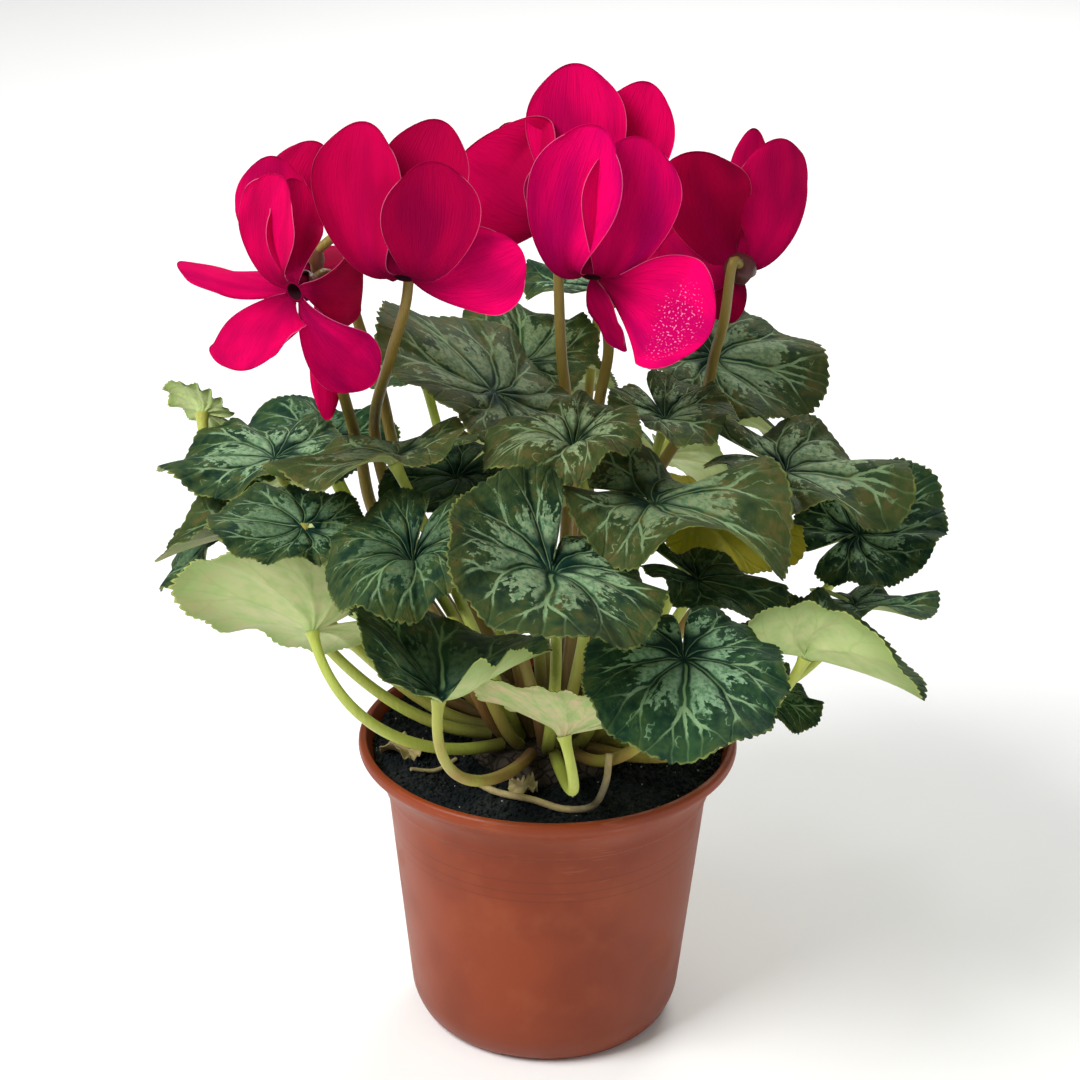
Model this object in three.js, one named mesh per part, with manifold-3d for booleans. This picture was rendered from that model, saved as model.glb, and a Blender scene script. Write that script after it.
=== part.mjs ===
import * as THREE from 'three';
import ManifoldModule from 'manifold-3d';
import { mergeVertices } from 'three/addons/utils/BufferGeometryUtils.js';

// Potted cyclamen. Millimetres, +Z up, pot axis on the origin, foot of the pot at z = 0.

const POT_HEIGHT = 106.2;
const RIM_RADIUS = 65;
const RIM_RING = 2.6;
const NECK_HEIGHT = 87.7;
const NECK_RADIUS = 55.1;
const BASE_RADIUS = 45.9;
const WALL = 1.6;
const FLOOR_UNDERSIDE = 3;
const FLOOR_TOP = 4.8;
const FOOT_OUTER = 41;
const FOOT_INNER = 37.6;
const FOOT_NOTCHES = 4;
const FOOT_NOTCH_LENGTH = 12;
const FOOT_NOTCH_WIDTH = 13;
const FOOT_NOTCH_DEPTH = 2;
const FOOT_NOTCH_START = -101.5;
const DRAIN_HOLES = 6;
const DRAIN_HOLE_RADIUS = 4;
const DRAIN_CIRCLE = 27;
const POT_SEGMENTS = 28;

const GAP = 0.35;
const SOIL_TOP = 101.6;
const SOIL_BUMP = 0.7;
const TUBER_RADIUS = 27;
const TUBER_FLAT = 21.5;
const CROWN = 105.9;

const BLADE_HALF = 0.4;
const BLADE_STEPS = 16;
const NOTCH_EDGE = 174;
const NOTCH_WIDTH = 4.5;
const NOTCH_DEPTH = 0.9;
const TIP_POINT = 0.05;
const TIP_WIDTH = 12;
const TOOTH = 0.022;
const NEARLY_FLAT = 1e-4;
const PETIOLE_BASE = 2.2;
const PETIOLE_TIP = 1.6;
const PETIOLE_STEPS = 6;
const STEM_SIDES = 5;
const STALK_BASE = 2.5;
const STALK_TIP = 1.55;
const STALK_STEPS = 12;
const STALK_LEAN = 0.6;
const HOOK_CROWDING = 1.8;
const SEPAL_WAVE = 1.3;
const PETAL_HALF = 0.4;
const PETAL_ROOT = 3.2;
const TIP_ROUND = 0.1;
const PETAL_ACROSS = 4;
const PETAL_ALONG = 4;
const RING_RADII = [6, 10.9, 15.7, 20.2];
const RING_REACH = [3, 7, 14, 30];
const RING_RISE = [12, 16, 10, 3];

const wasm = await ManifoldModule();
wasm.setup();

const materials = {
  pot: new THREE.MeshStandardMaterial({ color: 0xb25a38, roughness: 0.55, metalness: 0 }),
  soil: new THREE.MeshStandardMaterial({ color: 0x1a1c1b, roughness: 0.98, metalness: 0 }),
  tuber: new THREE.MeshStandardMaterial({ color: 0x5a4632, roughness: 0.9, metalness: 0 }),
  dry: new THREE.MeshStandardMaterial({ color: 0x9a8760, roughness: 0.9, metalness: 0 }),
  leaf: new THREE.MeshStandardMaterial({ color: 0x3c5f3c, roughness: 0.6, metalness: 0 }),
  stalk: new THREE.MeshStandardMaterial({ color: 0x6e6322, roughness: 0.6, metalness: 0 }),
  petal: new THREE.MeshStandardMaterial({ color: 0xd9005a, roughness: 0.55, metalness: 0 }),
};

const rad = THREE.MathUtils.degToRad;
const vec = (x, y, z) => new THREE.Vector3(x, y, z);
const group = new THREE.Group();
group.name = 'potted_cyclamen';

function geometryFrom(points, triangles) {
  const geometry = new THREE.BufferGeometry();
  const coordinates = points.flatMap((p) => [p.x, p.y, p.z]);
  geometry.setAttribute('position', new THREE.Float32BufferAttribute(coordinates, 3));
  geometry.setIndex(triangles);
  return geometry;
}

function solid(geometry) {
  const vertProperties = new Float32Array(geometry.getAttribute('position').array);
  const triVerts = new Uint32Array(geometry.getIndex().array);
  return new wasm.Manifold(new wasm.Mesh({ numProp: 3, vertProperties, triVerts }));
}

// A ready-made three.js shape as a solid, with its shared corners merged.
function simpleSolid(geometry) {
  geometry.deleteAttribute('normal');
  geometry.deleteAttribute('uv');
  return solid(mergeVertices(geometry));
}

function unsolid(body) {
  const mesh = body.getMesh();
  const geometry = new THREE.BufferGeometry();
  geometry.setAttribute('position', new THREE.Float32BufferAttribute(mesh.vertProperties, 3));
  geometry.setIndex(Array.from(mesh.triVerts));
  return geometry;
}

function add(name, geometry, material) {
  geometry.computeVertexNormals();
  const mesh = new THREE.Mesh(geometry, material);
  mesh.name = name;
  group.add(mesh);
}

// Turns a profile of [radius, height] about the axis. A radius of zero closes the body on the axis.
function revolve(profile, segments, shape = (r, z) => [r, z]) {
  const points = [];
  const rows = profile.map(([r, z]) => {
    const start = points.length;
    const count = r === 0 ? 1 : segments;
    for (let j = 0; j < count; j += 1) {
      const angle = (j * 2 * Math.PI) / segments;
      const [radius, height] = shape(r, z, angle);
      points.push(vec(radius * Math.cos(angle), radius * Math.sin(angle), height));
    }
    return (j) => start + (j % count);
  });
  const triangles = [];
  for (let i = 0; i + 1 < rows.length; i += 1) {
    const low = rows[i];
    const high = rows[i + 1];
    for (let j = 0; j < segments; j += 1) {
      if (profile[i][0] > 0) triangles.push(low(j), low(j + 1), high(j + 1));
      if (profile[i + 1][0] > 0) triangles.push(low(j), high(j + 1), high(j));
    }
  }
  return geometryFrom(points, triangles);
}

// A round stem along a curve, thick or thin as radiusAt says, closed at both ends.
function stem(curve, stations, sides, radiusAt) {
  const points = [];
  const triangles = [];
  let along = curve.getTangentAt(0);
  const normal = vec(-along.z, 0, along.x).cross(along).normalize();
  stations.forEach((t) => {
    const next = curve.getTangentAt(t);
    normal.applyQuaternion(new THREE.Quaternion().setFromUnitVectors(along, next));
    along = next;
    const centre = curve.getPointAt(t);
    for (let j = 0; j < sides; j += 1) {
      const spoke = normal.clone().applyAxisAngle(along, (j * 2 * Math.PI) / sides);
      points.push(centre.clone().addScaledVector(spoke, radiusAt(t)));
    }
  });
  const steps = stations.length - 1;
  const first = points.push(curve.getPointAt(0)) - 1;
  const last = points.push(curve.getPointAt(1)) - 1;
  const at = (i, j) => i * sides + (j % sides);
  for (let j = 0; j < sides; j += 1) {
    for (let i = 0; i < steps; i += 1) {
      triangles.push(at(i, j), at(i, j + 1), at(i + 1, j + 1));
      triangles.push(at(i, j), at(i + 1, j + 1), at(i + 1, j));
    }
    triangles.push(first, at(0, j + 1), at(0, j));
    triangles.push(last, at(steps, j), at(steps, j + 1));
  }
  return geometryFrom(points, triangles);
}

// Places along a stem from 0 to 1. A crowding above 1 sets them closer together towards the far end.
function stationsAlong(steps, crowding = 1) {
  return Array.from({ length: steps + 1 }, (_, i) => 1 - (1 - i / steps) ** crowding);
}

// Gives a surface of points and triangles an even thickness. The rim lists its margin points in order.
function thicken(points, triangles, rim, half) {
  const normals = points.map(() => vec(0, 0, 0));
  for (let i = 0; i < triangles.length; i += 3) {
    const [a, b, c] = triangles.slice(i, i + 3);
    const side = points[b].clone().sub(points[a]);
    const normal = side.cross(points[c].clone().sub(points[a])).normalize();
    normals[a].add(normal);
    normals[b].add(normal);
    normals[c].add(normal);
  }
  const upper = points.map((p, i) => p.clone().addScaledVector(normals[i].normalize(), half));
  const lower = points.map((p, i) => p.clone().addScaledVector(normals[i], -half));
  const count = points.length;
  const faces = [...triangles];
  for (let i = 0; i < triangles.length; i += 3) {
    faces.push(triangles[i] + count, triangles[i + 2] + count, triangles[i + 1] + count);
  }
  rim.forEach((a, i) => {
    const b = rim[(i + 1) % rim.length];
    faces.push(a + count, b + count, b);
    faces.push(a + count, b, a);
  });
  return geometryFrom([...upper, ...lower], faces);
}

// Pot

function buildPot() {
  const taper = (NECK_RADIUS - BASE_RADIUS) / NECK_HEIGHT;
  const wallAt = (z) => BASE_RADIUS + taper * z;
  const profile = [
    [0, FLOOR_UNDERSIDE],
    [FOOT_INNER, FLOOR_UNDERSIDE],
    [FOOT_INNER + 0.5, 0],
    [FOOT_OUTER, 0],
    [44.2, 3],
    [wallAt(9), 9],
    [NECK_RADIUS, NECK_HEIGHT],
    [NECK_RADIUS + 1, NECK_HEIGHT + 0.8],
    [NECK_RADIUS + 1.4, 91.5],
    [58, 95.6],
    [60.6, 98.8],
    [63.4, 101.2],
    [RIM_RADIUS - 0.4, 102.2],
    [RIM_RADIUS, 103.4],
    [RIM_RADIUS - 0.2, 105.4],
    [RIM_RADIUS - 1, POT_HEIGHT],
    [RIM_RADIUS - RIM_RING, POT_HEIGHT],
    [RIM_RADIUS - RIM_RING - 0.4, 105.4],
    [60.2, 100.8],
    [55.8, 95],
    [NECK_RADIUS - WALL, NECK_HEIGHT],
    [wallAt(12) - WALL, 12],
    [42.4, FLOOR_TOP],
    [0, FLOOR_TOP],
  ];
  let pot = solid(revolve(profile, POT_SEGMENTS));
  for (let i = 0; i < FOOT_NOTCHES; i += 1) {
    const notch = new THREE.BoxGeometry(FOOT_NOTCH_LENGTH, FOOT_NOTCH_WIDTH, FOOT_NOTCH_DEPTH * 2);
    notch.translate((FOOT_OUTER + FOOT_INNER) / 2, 0, 0);
    notch.rotateZ(rad(FOOT_NOTCH_START + (i * 360) / FOOT_NOTCHES));
    pot = pot.subtract(simpleSolid(notch));
  }
  for (let i = 0; i < DRAIN_HOLES; i += 1) {
    const hole = new THREE.CylinderGeometry(DRAIN_HOLE_RADIUS, DRAIN_HOLE_RADIUS, 2 * FLOOR_TOP, 8);
    hole.rotateX(Math.PI / 2);
    hole.translate(DRAIN_CIRCLE, 0, FLOOR_TOP);
    hole.rotateZ(((i + 0.5) * 2 * Math.PI) / DRAIN_HOLES);
    pot = pot.subtract(simpleSolid(hole));
  }
  add('pot', unsolid(pot), materials.pot);
}

// Soil and the tuber in it

function soilHeight(r, angle) {
  const lumps = Math.sin(3 * angle + r * 0.31) + Math.sin(5 * angle - r * 0.22 + 1.3);
  return SOIL_TOP + SOIL_BUMP * lumps - 0.5 + (r / 60) * 0.4;
}

function buildSoil() {
  const topRings = [59.8, 52, 44, 36, 29.6];
  const profile = [
    [0, FLOOR_TOP + GAP],
    [41.8, FLOOR_TOP + GAP],
    [44.8, 12.3],
    [53, NECK_HEIGHT],
    [55.1, 95.4],
    [58.9, 100.4],
    ...topRings.map((r) => [r, SOIL_TOP]),
    [TUBER_RADIUS + GAP, 98],
    [TUBER_RADIUS - 5, 91.6],
    [14, 88.6],
    [0, 87.6],
  ];
  const shape = (r, z, angle) => (z === SOIL_TOP && r > 0 ? [r, soilHeight(r, angle)] : [r, z]);
  add('soil', revolve(profile, POT_SEGMENTS, shape), materials.soil);
}

function buildTuber() {
  const profile = [
    [0, 88.2],
    [13.6, 89.4],
    [TUBER_RADIUS - 5.4, 92.4],
    [TUBER_RADIUS - 0.6, 98],
    [TUBER_RADIUS - 1.4, 102.6],
    [TUBER_FLAT, CROWN],
    [0, CROWN],
  ];
  add('tuber', revolve(profile, 20), materials.tuber);
}

// Leaves. The outline is a heart whose notch sits over the petiole. Each direction in the blade is an arc,
// so a leaf can be cupped, folded along its midrib, rolled at the margin, nodding, leaning or waved.

//   at       where blade and petiole meet
//   heading  the way the tip points, in degrees from +X towards +Y
//   pitch    how far the tip rises, bank how far the left margin rises
//   cup      how steeply the blade rises from its centre, fold how much more so at the sides
//   curl     how far the margin bends up, nod how much more so at the tip, lean at the left,
//            split on the left of the notch, with as much less on the right of it
//   wave     how far it swings up and down, waves how often round the blade, swing where it starts
//   ring     the ring of the crown that the petiole grows from, root its place on that ring in degrees
//   drop     how long the petiole comes up straight below the blade, as a share of its reach

const leafDefaults = {
  pitch: -10, bank: 0,
  cup: 18, fold: 0, curl: -28, nod: -6, lean: 0, split: 0, wave: 14, waves: 5, swing: 0,
  drop: 0.4,
};

const leaves = [
  {
    name: 'leaf_front_centre',
    at: [0, -81, 205], size: 48, heading: -95, pitch: -4, bank: -16,
    cup: 16, curl: -10, nod: -12, split: -50, wave: 8, swing: 40,
    ring: 3, root: -90, arrive: [5, 18, -38],
  },
  {
    name: 'leaf_front_low_right',
    at: [41, -88, 178], size: 42, heading: -90, pitch: -22,
    cup: 12, curl: -30, nod: 22, wave: 7,
    ring: 4, root: -64,
  },
  {
    name: 'leaf_top_curled',
    at: [7, -31, 223], size: 36, heading: -140, pitch: -8,
    cup: 62, curl: -95, nod: -10, wave: 14, swing: 40,
    ring: 2, root: -70,
  },
  {
    name: 'leaf_top_bowl',
    at: [37, -4, 224], size: 28, heading: -60, pitch: -5,
    cup: 28, curl: -22,
    ring: 2, root: -36,
  },
  {
    name: 'leaf_top_left',
    at: [-19, 4, 230], size: 46, heading: 142, pitch: 27, bank: 10,
    cup: 8, curl: -14, wave: 10,
    ring: 1, root: 168,
  },
  {
    name: 'leaf_top_back',
    at: [-10, 60, 219], size: 37, heading: 95, pitch: 12,
    ring: 2, root: 98,
  },
  {
    name: 'leaf_back_right',
    at: [56, 49, 225], size: 38, heading: 0, pitch: -15, bank: 30,
    lean: -12,
    ring: 3, root: 40,
  },
  {
    name: 'leaf_right_wavy',
    at: [78, 2, 203.5], size: 40, heading: -12, pitch: -10, bank: 4,
    wave: 22, swing: 20,
    ring: 3, root: 8,
  },
  {
    name: 'leaf_far_right',
    at: [104, 12, 177], size: 32, heading: 28, pitch: 22, bank: 28,
    ring: 4, root: 17,
  },
  {
    name: 'leaf_centre_right',
    at: [33, -42, 211], size: 46, heading: -30, pitch: 0,
    cup: 10, curl: -20, wave: 32, waves: 4, swing: -110,
    ring: 3, root: -52,
  },
  {
    name: 'leaf_right_tip_rolled',
    at: [102, -13, 161.5], size: 26, heading: -20, pitch: -5, bank: -12,
    nod: 20,
    ring: 4, root: -11,
  },
  {
    name: 'leaf_right_cupped',
    at: [81.5, -56.5, 165.5], size: 38, heading: -8, pitch: -4, bank: -22,
    cup: 18, fold: 24, curl: -6, nod: -6, wave: 4,
    ring: 4, root: -45,
  },
  {
    name: 'leaf_right_small',
    at: [70, -37, 142], size: 20, heading: -30, pitch: -20,
    ring: 4, root: -27,
  },
  {
    name: 'leaf_low_centre',
    at: [5, -80, 149], size: 30, heading: 180, pitch: 12, bank: 40,
    cup: 22, curl: -6, wave: 4,
    ring: 4, root: -83,
  },
  {
    name: 'leaf_low_left',
    at: [-34, -84, 163], size: 48, heading: 93, pitch: 0, bank: 14,
    cup: 30, fold: 8, curl: -6, nod: -30, split: -30, wave: 6,
    ring: 4, root: -106,
  },
  {
    name: 'leaf_left_gutter',
    at: [-43, -63, 198], size: 36, heading: -118, pitch: -14,
    cup: 60, curl: -80, nod: -30, wave: 12, swing: 90,
    ring: 3, root: -128, arrive: [14, 54, -36],
  },
  {
    name: 'leaf_left_funnel',
    at: [-76, -45, 167], size: 45, heading: 172, pitch: 8, bank: 54,
    cup: 24, curl: -6, nod: -34, split: 30, wave: 6,
    ring: 4, root: -141,
  },
  {
    name: 'leaf_left_flat',
    at: [-78.5, -47, 203.5], size: 28.5, heading: 176, pitch: 4, bank: -10,
    cup: 6, curl: -8, wave: 8,
    ring: 3, root: -154, arrive: [38, 24, -4],
  },
  {
    name: 'leaf_left_wavy',
    at: [-93, 14, 201], size: 37, heading: 184, pitch: -6,
    ring: 3, root: 168,
  },
  {
    name: 'leaf_left_raised',
    at: [-98, -15, 188], size: 30, heading: 188, pitch: -2, bank: 12,
    cup: 16, fold: 22, curl: -10, wave: 6,
    ring: 4, root: -166,
  },
  {
    name: 'leaf_back_left',
    at: [-80, 45, 193], size: 36, heading: 165, pitch: 0, bank: -8,
    ring: 3, root: 149,
  },
  {
    name: 'leaf_far_left_turned',
    at: [-119, 42, 207], size: 15, heading: 160, pitch: 20, bank: 60,
    wave: 4,
    ring: 4, root: 160,
  },
  {
    name: 'leaf_left_hanging',
    at: [-113, 8, 177], size: 26, heading: 190, pitch: -50,
    ring: 4, root: 180,
  },
  {
    name: 'leaf_left_edge_on',
    at: [-50, -37, 223], size: 39, heading: 174, pitch: -12, bank: 12,
    ring: 2, root: -150,
  },
  {
    name: 'leaf_left_inner',
    at: [-31, -10, 205], size: 28, heading: -135, pitch: -14,
    ring: 2, root: -98,
  },
  {
    name: 'leaf_inner_right',
    at: [48, -36, 181], size: 28, heading: -15, pitch: -14,
    ring: 3, root: -35,
  },
  {
    name: 'leaf_yellowing',
    at: [51, -14, 193], size: 33, heading: -35,
    ring: 3, root: -16,
  },
  {
    name: 'leaf_rear_1',
    at: [17, 86, 237], size: 38, heading: 70, pitch: 0,
    ring: 2, root: 74,
  },
  {
    name: 'leaf_rear_2',
    at: [-6, 94, 197], size: 40, heading: 88, pitch: -25,
    ring: 3, root: 90,
  },
  {
    name: 'leaf_rear_3',
    at: [-45, 76, 208], size: 40, heading: 122, pitch: -15,
    ring: 2, root: 135,
  },
  {
    name: 'leaf_rear_4',
    at: [88, 66, 182], size: 38, heading: 38, pitch: -35,
    ring: 4, root: 38,
  },
  {
    name: 'leaf_rear_5',
    at: [-78, 80, 170], size: 38, heading: 138, pitch: -30,
    ring: 4, root: 136,
  },
  {
    name: 'leaf_rear_6',
    at: [40, 98, 168], size: 38, heading: 68, pitch: -35,
    ring: 4, root: 68,
  },
  {
    name: 'leaf_rear_7',
    at: [-25, 98, 164], size: 38, heading: 104, pitch: -35,
    ring: 4, root: 106,
  },
].map((leaf) => ({ ...leafDefaults, ...leaf }));

// Even steps round the blade from -180 to 180 degrees, with one more on either side of the notch.
const evenAngles = Array.from({ length: BLADE_STEPS - 1 }, (_, j) => ((j + 1) * 360) / BLADE_STEPS - 180);
const bladeAngles = [-NOTCH_EDGE, ...evenAngles, NOTCH_EDGE, 180].map(rad);
const notch = bladeAngles.length - 1;
const spokes = bladeAngles.map((_, j) => j).filter((j) => j % 2 === 0 || j === notch);

function leafFrame(leaf) {
  const h = rad(leaf.heading);
  const p = rad(leaf.pitch);
  const b = rad(leaf.bank);
  const tip = vec(Math.cos(p) * Math.cos(h), Math.cos(p) * Math.sin(h), Math.sin(p));
  const level = vec(-Math.sin(h), Math.cos(h), 0);
  const up = tip.clone().cross(level);
  const side = level.clone().multiplyScalar(Math.cos(b)).addScaledVector(up, Math.sin(b));
  const face = tip.clone().cross(side);
  return { tip, side, face };
}

function outlineRadius(leaf, angle) {
  const heart = 0.81 + 0.14 * Math.cos(angle) + 0.06 * Math.cos(2 * angle) + 0.02 * Math.cos(3 * angle);
  const point = TIP_POINT * Math.exp(-((angle / rad(TIP_WIDTH)) ** 2));
  const fromNotch = (Math.PI - Math.abs(angle)) / rad(NOTCH_WIDTH);
  return leaf.size * (heart + point) * (1 - NOTCH_DEPTH * Math.exp(-(fromNotch ** 1.5)));
}

function bladePoint(leaf, frame, angle, share, radius) {
  const start = rad(leaf.cup - leaf.fold * Math.cos(2 * angle));
  const lobes = leaf.lean * Math.sin(angle) + leaf.split * Math.sin(angle / 2) ** 3;
  const turn = leaf.curl + leaf.nod * Math.cos(angle) + lobes;
  const swing = leaf.wave * Math.sin(leaf.waves * angle + rad(leaf.swing));
  const bend = rad(turn + swing) || NEARLY_FLAT;
  const slope = start + bend * share;
  const out = (radius * (Math.sin(slope) - Math.sin(start))) / bend;
  const up = (radius * (Math.cos(start) - Math.cos(slope))) / bend;
  return vec(...leaf.at)
    .addScaledVector(frame.tip, out * Math.cos(angle))
    .addScaledVector(frame.side, out * Math.sin(angle))
    .addScaledVector(frame.face, up);
}

// Half way out, the blade has every second one of the margin's points and the one in the notch.
function buildBlade(leaf, frame) {
  const points = [vec(...leaf.at)];
  const middle = [];
  const margin = [];
  bladeAngles.forEach((angle, j) => {
    const radius = outlineRadius(leaf, angle);
    const tooth = j % 2 ? TOOTH : -TOOTH;
    if (spokes.includes(j)) middle[j] = points.push(bladePoint(leaf, frame, angle, 0.5, radius)) - 1;
    margin.push(points.push(bladePoint(leaf, frame, angle, 1, radius * (1 + tooth))) - 1);
  });
  const triangles = [];
  spokes.forEach((j, k) => {
    const next = spokes[(k + 1) % spokes.length];
    const beside = (j + 1) % bladeAngles.length;
    triangles.push(0, middle[j], middle[next]);
    triangles.push(middle[j], margin[j], margin[beside]);
    triangles.push(middle[j], margin[beside], middle[next]);
    if (beside !== next) triangles.push(middle[next], margin[beside], margin[next]);
  });
  return thicken(points, triangles, margin, BLADE_HALF);
}

// A stem starts on one of the rings on the crown, just high enough for its lower edge to clear the tuber.
function rootPoint(ring, angle, radius, lean) {
  const r = RING_RADII[ring - 1];
  return vec(r * Math.cos(angle), r * Math.sin(angle), CROWN + GAP + radius * Math.sin(lean));
}

function petioleCurve(leaf, frame) {
  const at = vec(...leaf.at);
  const angle = rad(leaf.root);
  const reach = RING_REACH[leaf.ring - 1];
  const rise = RING_RISE[leaf.ring - 1];
  const root = rootPoint(leaf.ring, angle, PETIOLE_BASE, Math.atan2(reach, rise));
  const away = vec(Math.cos(angle), Math.sin(angle), 0);
  const leave = root.clone().addScaledVector(away, reach).add(vec(0, 0, rise));
  const below = vec(0, 0, 0.4).addScaledVector(frame.face, 0.6).addScaledVector(frame.tip, 0.35);
  const length = leaf.drop * root.distanceTo(at);
  const before = leaf.arrive ? vec(...leaf.arrive) : below.setLength(length).negate();
  const end = at.clone().addScaledVector(frame.face, BLADE_HALF / 4);
  return new THREE.CubicBezierCurve3(root, leave, at.clone().add(before), end);
}

function buildLeaf(leaf) {
  const frame = leafFrame(leaf);
  const radiusAt = (s) => PETIOLE_BASE + (PETIOLE_TIP - PETIOLE_BASE) * s;
  const petiole = stem(petioleCurve(leaf, frame), stationsAlong(PETIOLE_STEPS), STEM_SIDES, radiusAt);
  add(leaf.name, unsolid(solid(buildBlade(leaf, frame)).add(solid(petiole))), materials.leaf);
}

// Dried bits that lie on the soil

function onSoil([x, y, lift]) {
  return vec(x, y, soilHeight(Math.hypot(x, y), Math.atan2(y, x)) + lift);
}

const dryStems = [
  {
    name: 'dry_stem_1',
    points: [
      [-26, -27, 2], [-17, -39, 1.9], [-5, -44, 1.9], [6, -48, 1.9], [15, -50, 4], [19, -49, 12], [20, -46, 22],
    ],
    radius: 1.2,
  },
  {
    name: 'dry_stem_2',
    points: [[-46, -24, 1.6], [-38, -20, 1.4], [-31, -14, 1.8]],
    radius: 0.7,
  },
];

const dryLeaves = [
  {
    name: 'dry_leaf_1',
    at: [-48, -9, 1.8], size: 9, heading: 200, pitch: 6,
    cup: 14, curl: -6, wave: 45, waves: 3,
  },
  {
    name: 'dry_leaf_2',
    at: [-8, -34, 3.5], size: 6.5, heading: 260, pitch: -4,
    cup: 10, curl: -6, wave: 36, waves: 3,
  },
];

function buildDryBits() {
  dryStems.forEach((twig) => {
    const curve = new THREE.CatmullRomCurve3(twig.points.map(onSoil));
    const stations = stationsAlong(2 * twig.points.length);
    add(twig.name, stem(curve, stations, STEM_SIDES, () => twig.radius), materials.dry);
  });
  dryLeaves.forEach((dryLeaf) => {
    const leaf = { ...leafDefaults, ...dryLeaf, at: onSoil(dryLeaf.at).toArray() };
    add(leaf.name, buildBlade(leaf, leafFrame(leaf)), materials.dry);
  });
}

// Flowers. A flower nods: its stalk hooks over into the calyx, the mouth of the tube looks down or out along
// the direction 'faces', and five petals leave the mouth and turn back. A petal names the place on the mouth
// where it starts (90 degrees is the top) and where its tip lies from the mouth.

const flowers = [
  {
    name: 'flower_left',
    mouth: [-79, -46, 282],
    faces: [-0.55, -0.75, -0.15],
    stalk: [[-58, 2, 185], [-63, -1, 210], [-68, -24, 247], [-70, -35, 268]],
    ring: 2,
    root: 178,
    petals: [
      { slot: 235, tip: [-13, -23, -17], width: 34, cup: 25, shows: [-0.5, -0.8, 0.4] },
      { slot: 310, tip: [23, 4, -32], width: 22, cup: 15, shows: [0, -1, 0.3] },
      { slot: 20, tip: [19, 26, -8], width: 23, cup: 15, shows: [0, -1, 0.3] },
      { slot: 80, tip: [0, 12, 32], width: 20, cup: 25, shows: [0.6, -1, 0] },
      { slot: 150, tip: [-3, -4, 38], width: 24, cup: 30, shows: [-0.8, -1, 0] },
    ],
  },
  {
    name: 'flower_left_rear',
    mouth: [-80, -10, 277],
    faces: [-0.6, 0.1, -0.75],
    stalk: [[-48, 14, 190], [-57, 10, 230], [-64, 2, 258]],
    ring: 1,
    root: 117,
    petals: [
      { slot: 140, tip: [-9, 6, 35], width: 24, cup: 15, shows: [0, -1, 0.2] },
      { slot: 60, tip: [5, 18, 36], width: 24, cup: 15, shows: [0, -1, 0.2] },
      { slot: 200, tip: [-40, 7, -1], width: 15, cup: 40, shows: [0, -0.2, 1] },
      { slot: 285, tip: [8, -10, -48], width: 12, cup: 40, shows: [0.3, -1, 0] },
      { slot: 10, tip: [16, 32, -4], width: 22, cup: 20, shows: [0.5, 0.5, 1] },
    ],
  },
  {
    name: 'flower_centre_left',
    mouth: [-46, -43, 286],
    faces: [-0.15, -0.6, -0.78],
    stalk: [[-50, -6, 188], [-58, 1, 215], [-51, -26, 254], [-45.5, -34, 276]],
    ring: 1,
    root: 218,
    petals: [
      { slot: 150, tip: [-11, 0, 49], width: 33, cup: 28, shows: [-0.5, -1, 0] },
      { slot: 35, tip: [9, -13, 41], width: 31, cup: 20, shows: [0.2, -1, 0.1] },
      { slot: 88, tip: [11, 16, 45], width: 28, cup: 20, shows: [0, -1, 0.3] },
      { slot: 340, tip: [36, -8, 12], width: 30, cup: 15, shows: [0.1, -1, 0.2] },
      { slot: 200, tip: [-4, 36, 18], width: 20, cup: 20, shows: [-0.4, 0, 1] },
    ],
  },
  {
    name: 'flower_centre_rear',
    mouth: [5, 28, 283],
    faces: [0.2, -0.5, -0.84],
    stalk: [[6, 29, 205], [3, 30, 235], [1.5, 39, 270]],
    ring: 1,
    root: 65,
    petals: [
      { slot: 170, tip: [-36, -2, 20], width: 58, cup: 12, shows: [0, -1, 0.1] },
      { slot: 100, tip: [1, 4, 50], width: 33, cup: 15, shows: [0, -1, 0.1] },
      { slot: 45, tip: [25, 8, 43], width: 28, cup: 15, shows: [0, -1, 0.2] },
      { slot: 345, tip: [38, 6, -4], width: 26, cup: 15, shows: [0, -1, 0.3] },
      { slot: 215, tip: [-21, 24, 24], width: 23, cup: 20, shows: [0, 1, 0] },
    ],
  },
  {
    name: 'flower_centre_right',
    mouth: [12, -23, 280],
    faces: [-0.1, -0.6, -0.8],
    stalk: [[15, 0, 225], [18, -5, 250], [14.5, -14, 270]],
    ring: 1,
    root: 320,
    petals: [
      { slot: 150, tip: [1, -8, 51], width: 32, cup: 40, shows: [-0.3, -1, 0] },
      { slot: 45, tip: [13, -2, 46], width: 33, cup: 20, shows: [0.3, -1, 0] },
      { slot: 335, tip: [36, -26, -9], width: 38, cup: 15, shows: [0, -1, 0.4] },
      { slot: 270, tip: [11, 2, -26], width: 15, cup: 20, shows: [-1, -0.5, 0] },
      { slot: 98, tip: [-13, 24, 30], width: 26, cup: 20, shows: [-0.3, 1, 0] },
    ],
  },
  {
    name: 'flower_right',
    mouth: [60, 2, 273],
    faces: [0.1, 0.8, -0.6],
    stalk: [[33, 8, 195], [50, 17.5, 222], [53, 7, 243], [55, -4, 259]],
    ring: 1,
    root: 13,
    petals: [
      { slot: 140, tip: [-16, -6, 42], width: 31, cup: 20, shows: [-0.2, -1, 0.1] },
      { slot: 40, tip: [10, 2, 44], width: 27, cup: 25, shows: [0.4, -1, 0] },
      { slot: 90, tip: [4, 20, 42], width: 14, cup: 25, shows: [0, -1, 0] },
      { slot: 195, tip: [-24, 14, 6], width: 26, cup: 15, shows: [-0.1, -1, 0.2] },
      { slot: 270, tip: [-13, 8, -14], width: 20, cup: 20, shows: [0, -1, 0] },
    ],
  },
];

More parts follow.
